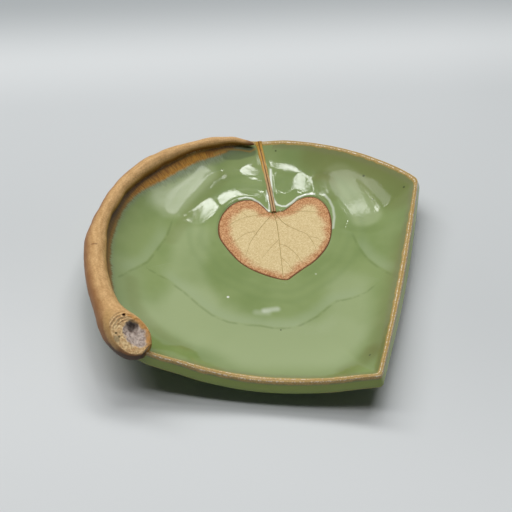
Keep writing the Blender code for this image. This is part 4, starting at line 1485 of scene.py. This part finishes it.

# %% [markdown]
# The coil is bare clay with a fine grain along it, a small scar and a dark tip. Its tan top and browner
# sides are painted light and shade. Its outer side is more weathered, and its inner side has a stain of
# amber, deepened by painted shade where it meets the glaze. The way a point faces, and its place round the
# coil, say which it gets.

# %% The coil's clay
def bark_color(finish, place, along_run):
    """The coil's colours, which its thick end shares, and the grain that they follow."""
    cloud = grain(finish, place, 7, 3)
    fine = grain(finish, place, 0.7, 3)
    rolled = finish.node('ShaderNodeCombineXYZ', {}, {0: along_run * 0.07, 1: stored(finish, "round_cos"),
                                                     2: stored(finish, "round_sin")})
    streak = grain(finish, rolled, 0.3, 3)
    mixed = fine * 0.5 + streak * 0.5
    upward = facing_up(finish)
    outward = stored(finish, "round_cos")
    tan = blend(finish, step(finish, mixed, 0.3, 0.7), paint(184, 142, 90), paint(222, 182, 128))
    painted_shade_brown = blend(finish, step(finish, mixed, 0.3, 0.7), paint(176, 118, 52), paint(222, 162, 86))
    # painted light and shade: tan where the coil faces up, brown where it faces down
    color = blend(finish, step(finish, upward + cloud * 0.5 - 0.25, 0.6, -0.15), tan, painted_shade_brown)
    weathered = step(finish, outward + cloud * 0.5 - 0.25, 0.0, 0.85) * step(finish, along_run, 10.0, 90.0)
    color = blend(finish, weathered * 0.85, color, paint(138, 88, 46))
    # amber stain and painted contact shade on the coil's inner underside
    amber_stain_and_contact_shade = step(finish, outward, -0.35, -0.9) * step(finish, upward, 0.35, -0.2)
    color = blend(finish, amber_stain_and_contact_shade * 0.8, color, paint(122, 78, 6))
    scar = band(finish, along_run, scar_along, 0.6) * step(finish, abs(outward + 0.02), 0.34, 0.2)
    color = blend(finish, scar * 0.7, color, paint(104, 62, 30))
    tip = step(finish, along_run, 6.5, 1.5)
    return blend(finish, tip * 0.85, color, paint(104, 60, 34)), mixed


def bark_finish():
    finish = Finish("rolled_clay")
    place = place_in_mm(finish)
    color, mixed = bark_color(finish, place, stored(finish, "along"))
    finish.set(Base_Color=color, Roughness=0.55)
    roughen(finish, mixed, 0.5, 0.08)
    return finish


coat(coil, bark_finish())

# %% [markdown]
# The thick end was cut at a slant, and its face pressed and scratched with a tool. A Boolean cut could make
# the face, but its edge would be a hard corner, and clay has none. So the sweep goes on past the face, and
# every point above the plane of the cut is pressed softly down onto it. Then the hollow, its deeper part, a
# small pit and some curved wrinkles are pressed into the face, each an oval or a wave in places measured
# along and across it.

# %% The plane of the cut
KNOT_FACE_TILT_DEGREES = 24
KNOT_FACE_RISE = 3.6
FACE_ALONG_SHARE = 0.74
FACE_ASIDE = 0.8
level_ahead = Vector((turned.x, turned.y, 0)).normalized()
tilt = math.radians(KNOT_FACE_TILT_DEGREES)
face_normal = np.array(level_ahead * math.sin(tilt) + Vector((0, 0, 1)) * math.cos(tilt))
face_along = np.array(level_ahead * math.cos(tilt) - Vector((0, 0, 1)) * math.sin(tilt))
face_across = np.cross(face_normal, face_along)
face_run, _ = knot_places(np.array([FACE_ALONG_SHARE]))
face_middle = face_run[0] + np.array([0, 0, KNOT_FACE_RISE]) + face_across * FACE_ASIDE
print("middle of the face, mm:", face_middle.round(2), "along it:", face_along.round(3),
      "across it:", face_across.round(3))


# %% Press the thick end onto its face
FACE_SOFTNESS = 0.35
FACE_EDGE = 0.6
FIRST_RING_SHARE = 0.97


def face_place(points):
    """Places along and across the cut face from its middle, and above its plane."""
    off = points - face_middle
    return off @ face_along, off @ face_across, off @ face_normal


def soft_limit(height):
    """A height that stays as it is below 0 and is softly held down to 0 above it."""
    held = -FACE_SOFTNESS * np.log1p(np.exp(-np.clip(height, -40, 40) / FACE_SOFTNESS))
    return np.where(height > -4 * FACE_SOFTNESS, held, height)


knot_rows = sweep[TWIG_STEPS - 1:].copy()
knot_start = run_places[TWIG_STEPS - 1]
knot_rows[0] = knot_start + (knot_rows[0] - knot_start) * FIRST_RING_SHARE
knot_points = knot_rows.reshape(-1, 3)
along, across, above = face_place(knot_points)
on_face = np.clip(above / FACE_EDGE, 0, 1)
print("points on the face:", (on_face > 0).sum(), "of", len(knot_points))

# %% The hollow, the pit and the wrinkles of the face
FACE_PLACE, FACE_HALF = (-0.2, -2.4), (9.1, 6.9)
HOLLOW_PLACE, HOLLOW_HALF, HOLLOW_DEPTH = (1.2, 0.3), (5.3, 3.7), 0.9
DEEP_PLACE, DEEP_HALF, DEEP_DEPTH = (-1.9, 1.3), (2.7, 2.4), 1.3
PIT_PLACE, PIT_HALF, PIT_DEPTH = (-7.2, 1.2), (0.52, 0.6), 0.7
HOLLOW_POWER = 0.6
FACE_ROUGHNESS = ((0.2, 1.3, 5.0), (0.14, 0.6, 1.0))  # height, size, seed
WRINKLE_MIDDLE = (-1.5, -1.0)
WRINKLE_HEIGHT = 0.13
WRINKLE_TURNS = 5.0
WRINKLE_WANDER = ((1.2, 2.2, 0.0),)  # height, size, seed
WRINKLE_START, WRINKLE_FADE = 4.0, 2.0


def oval_share(place, half):
    """How far each point is from the middle of an oval on the face, as a share of the way to its edge."""
    return np.hypot((along - place[0]) / half[0], (across - place[1]) / half[1])


hollow = oval_share(HOLLOW_PLACE, HOLLOW_HALF)
deep = oval_share(DEEP_PLACE, DEEP_HALF)
pit = oval_share(PIT_PLACE, PIT_HALF)
bowl = -HOLLOW_DEPTH * np.clip(1 - hollow**2, 0, 1) ** HOLLOW_POWER
bowl = bowl - DEEP_DEPTH * np.clip(1 - deep**2, 0, 1) - PIT_DEPTH * np.clip(1 - pit**2, 0, 1)
from_wrinkles = np.hypot(along - WRINKLE_MIDDLE[0], across - WRINKLE_MIDDLE[1])
wave = np.sin(from_wrinkles * WRINKLE_TURNS + ripples(knot_points, WRINKLE_WANDER))
wrinkle = WRINKLE_HEIGHT * wave * np.clip((-along - WRINKLE_START) / WRINKLE_FADE, 0, 1)
rough = ripples(knot_points, FACE_ROUGHNESS)
change = soft_limit(above) - above + on_face * (bowl + wrinkle + rough)
knot_points = knot_points + face_normal * change[:, None]
print("face pressed in by up to, mm:", -change.min().round(1))

# %% The knot's skin
knot = net("knot", list(knot_points.reshape(knot_rows.shape)))
knot_turns = np.tile(sweep_turns, len(knot_rows))
store(knot, "round_cos", np.cos(knot_turns))
store(knot, "round_sin", np.sin(knot_turns))
store(knot, "along", np.repeat(run_lengths[TWIG_STEPS - 1:], SWEEP_ROUND))
store(knot, "face_along", along)
store(knot, "face_across", across)
store(knot, "on_face", on_face)
store(knot, "above", above)
store(knot, "hollow", hollow)
store(knot, "deep", deep)
store(knot, "pit", pit)
store(knot, "from_bark", oval_share(FACE_PLACE, FACE_HALF))
store(knot, "wave", wave)
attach(knot, "root")
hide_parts("twig_knot", "knot_core")
print("knot skin:", len(knot.data.vertices), "points")

# %% [markdown]
# The face is cream clay with curved lines and a toasted lip. The hollow shows greyish pith, with painted
# shade where it is deepest and in the pit, and the underside is painted nearly black as shade. The ovals
# stored above say where each begins, and noise breaks their edges.

# %% What several of the knot's colours need
class CutClay(Finish):
    """The knot's finish, with the places on its face and the noise that its colours share."""

    def __init__(self, name):
        super().__init__(name)
        self.place = place_in_mm(self)
        self.along = stored(self, "face_along")
        self.across = stored(self, "face_across")
        self.speck = grain(self, self.place, 0.8, 3)
        self.coarse = grain(self, self.place, 1.7, 3)

    def away(self, along, across, along_weight=1, across_weight=1):
        """Distance on the face from a place, with a weight for the square of each of its two parts."""
        off_along, off_across = self.along - along, self.across - across
        squares = off_along * off_along * along_weight + off_across * off_across * across_weight
        return self.node('ShaderNodeMath', {'operation': 'SQRT'}, {0: squares})


# %% The bark round the cut
def round_cut_color(knot_clay, bark, mixed):
    """The coil's bark, with painted shade nearly black under the cut, and worn pale along its edge."""
    along, across, speck = knot_clay.along, knot_clay.across, knot_clay.speck
    # painted shade: nearly black where the thick end faces down
    under = step(knot_clay, facing_up(knot_clay) + mixed * 0.3 - 0.15, 0.35, -0.05)
    under = under * step(knot_clay, across, 2, -1) * step(knot_clay, along, -6, 0)
    color = blend(knot_clay, under * 0.92, bark, paint(46, 27, 11))
    above = stored(knot_clay, "above") + speck * 0.8 - 0.4
    edge = step(knot_clay, above, -2.9, -1.7) * step(knot_clay, along, 3.5, 0.5)
    edge = edge * step(knot_clay, across, 0, -3)
    worn = blend(knot_clay, speck, paint(158, 118, 66), paint(218, 180, 122))
    return blend(knot_clay, edge * 0.85, color, worn)


# %% The cream clay of the face
def cream_color(knot_clay):
    """Cream clay with tan patches, curved dark lines, a greenish spot and a toasted lip."""
    along, across, speck = knot_clay.along, knot_clay.across, knot_clay.speck
    cream = blend(knot_clay, step(knot_clay, speck, 0.3, 0.62), paint(170, 134, 88), paint(228, 200, 150))
    tan_patch = step(knot_clay, knot_clay.coarse, 0.4, 0.62)
    cream = blend(knot_clay, tan_patch * 0.5, cream, paint(196, 152, 104))
    lines = step(knot_clay, stored(knot_clay, "wave"), -0.1, 0.8) * step(knot_clay, along, -3.6, -5.6)
    cream = blend(knot_clay, lines * 0.6, cream, paint(118, 86, 52))
    greenish = step(knot_clay, knot_clay.away(-0.9, -6.3, 0.4, 0.8), 1.1, 0.7)
    cream = blend(knot_clay, greenish * 0.6, cream, paint(132, 122, 92))
    lip = step(knot_clay, stored(knot_clay, "from_bark") + speck * 0.2 - 0.1, 0.84, 0.98)
    lip_color = blend(knot_clay, step(knot_clay, across, -1, 3), paint(216, 176, 120), paint(190, 134, 66))
    return blend(knot_clay, lip * 0.8, cream, lip_color)


# %% The pith, the pit and the dots
FACE_DOTS = ((-2.9, -5.3), (-1.2, -5.0))


def cut_face_color(knot_clay):
    """The cream with the greyish pith in its hollow, painted shade in the deep part and the pit, and two
    dots.
    """
    speck, coarse, pit = knot_clay.speck, knot_clay.coarse, stored(knot_clay, "pit")
    pith_mix = step(knot_clay, speck * 0.6 + coarse * 0.4, 0.3, 0.65)
    pith = blend(knot_clay, pith_mix, paint(134, 116, 106), paint(208, 192, 180))
    outside = step(knot_clay, stored(knot_clay, "hollow") + coarse * 0.9 - 0.45, 1.1, 0.85)
    face = blend(knot_clay, outside, cream_color(knot_clay), pith)
    # painted shade in the deepest part of the hollow
    painted_shade = step(knot_clay, stored(knot_clay, "deep") + coarse * 0.8 - 0.4, 1.15, 0.3)
    face = blend(knot_clay, painted_shade * 0.85, face, paint(40, 24, 14))
    face = blend(knot_clay, band(knot_clay, pit, 1.9, 0.7) * 0.6, face, paint(236, 200, 148))
    # painted shade in the pit
    face = blend(knot_clay, step(knot_clay, pit, 1.2, 0.7), face, paint(58, 24, 12))
    for dot_along, dot_across in FACE_DOTS:
        dot = step(knot_clay, knot_clay.away(dot_along, dot_across), 0.6, 0.3)
        face = blend(knot_clay, dot * 0.8, face, paint(62, 60, 30))
    return face


# %% The knot's clay put together
def knot_finish():
    knot_clay = CutClay("sawn_clay")
    on_face = stored(knot_clay, "on_face")
    bark, mixed = bark_color(knot_clay, knot_clay.place, stored(knot_clay, "along"))
    color = blend(knot_clay, on_face, round_cut_color(knot_clay, bark, mixed), cut_face_color(knot_clay))
    knot_clay.set(Base_Color=color, Roughness=0.6)
    roughen(knot_clay, mixed + (knot_clay.speck + knot_clay.coarse * 1.5) * on_face, 0.6, 0.12)
    return knot_clay


coat(knot, knot_finish())
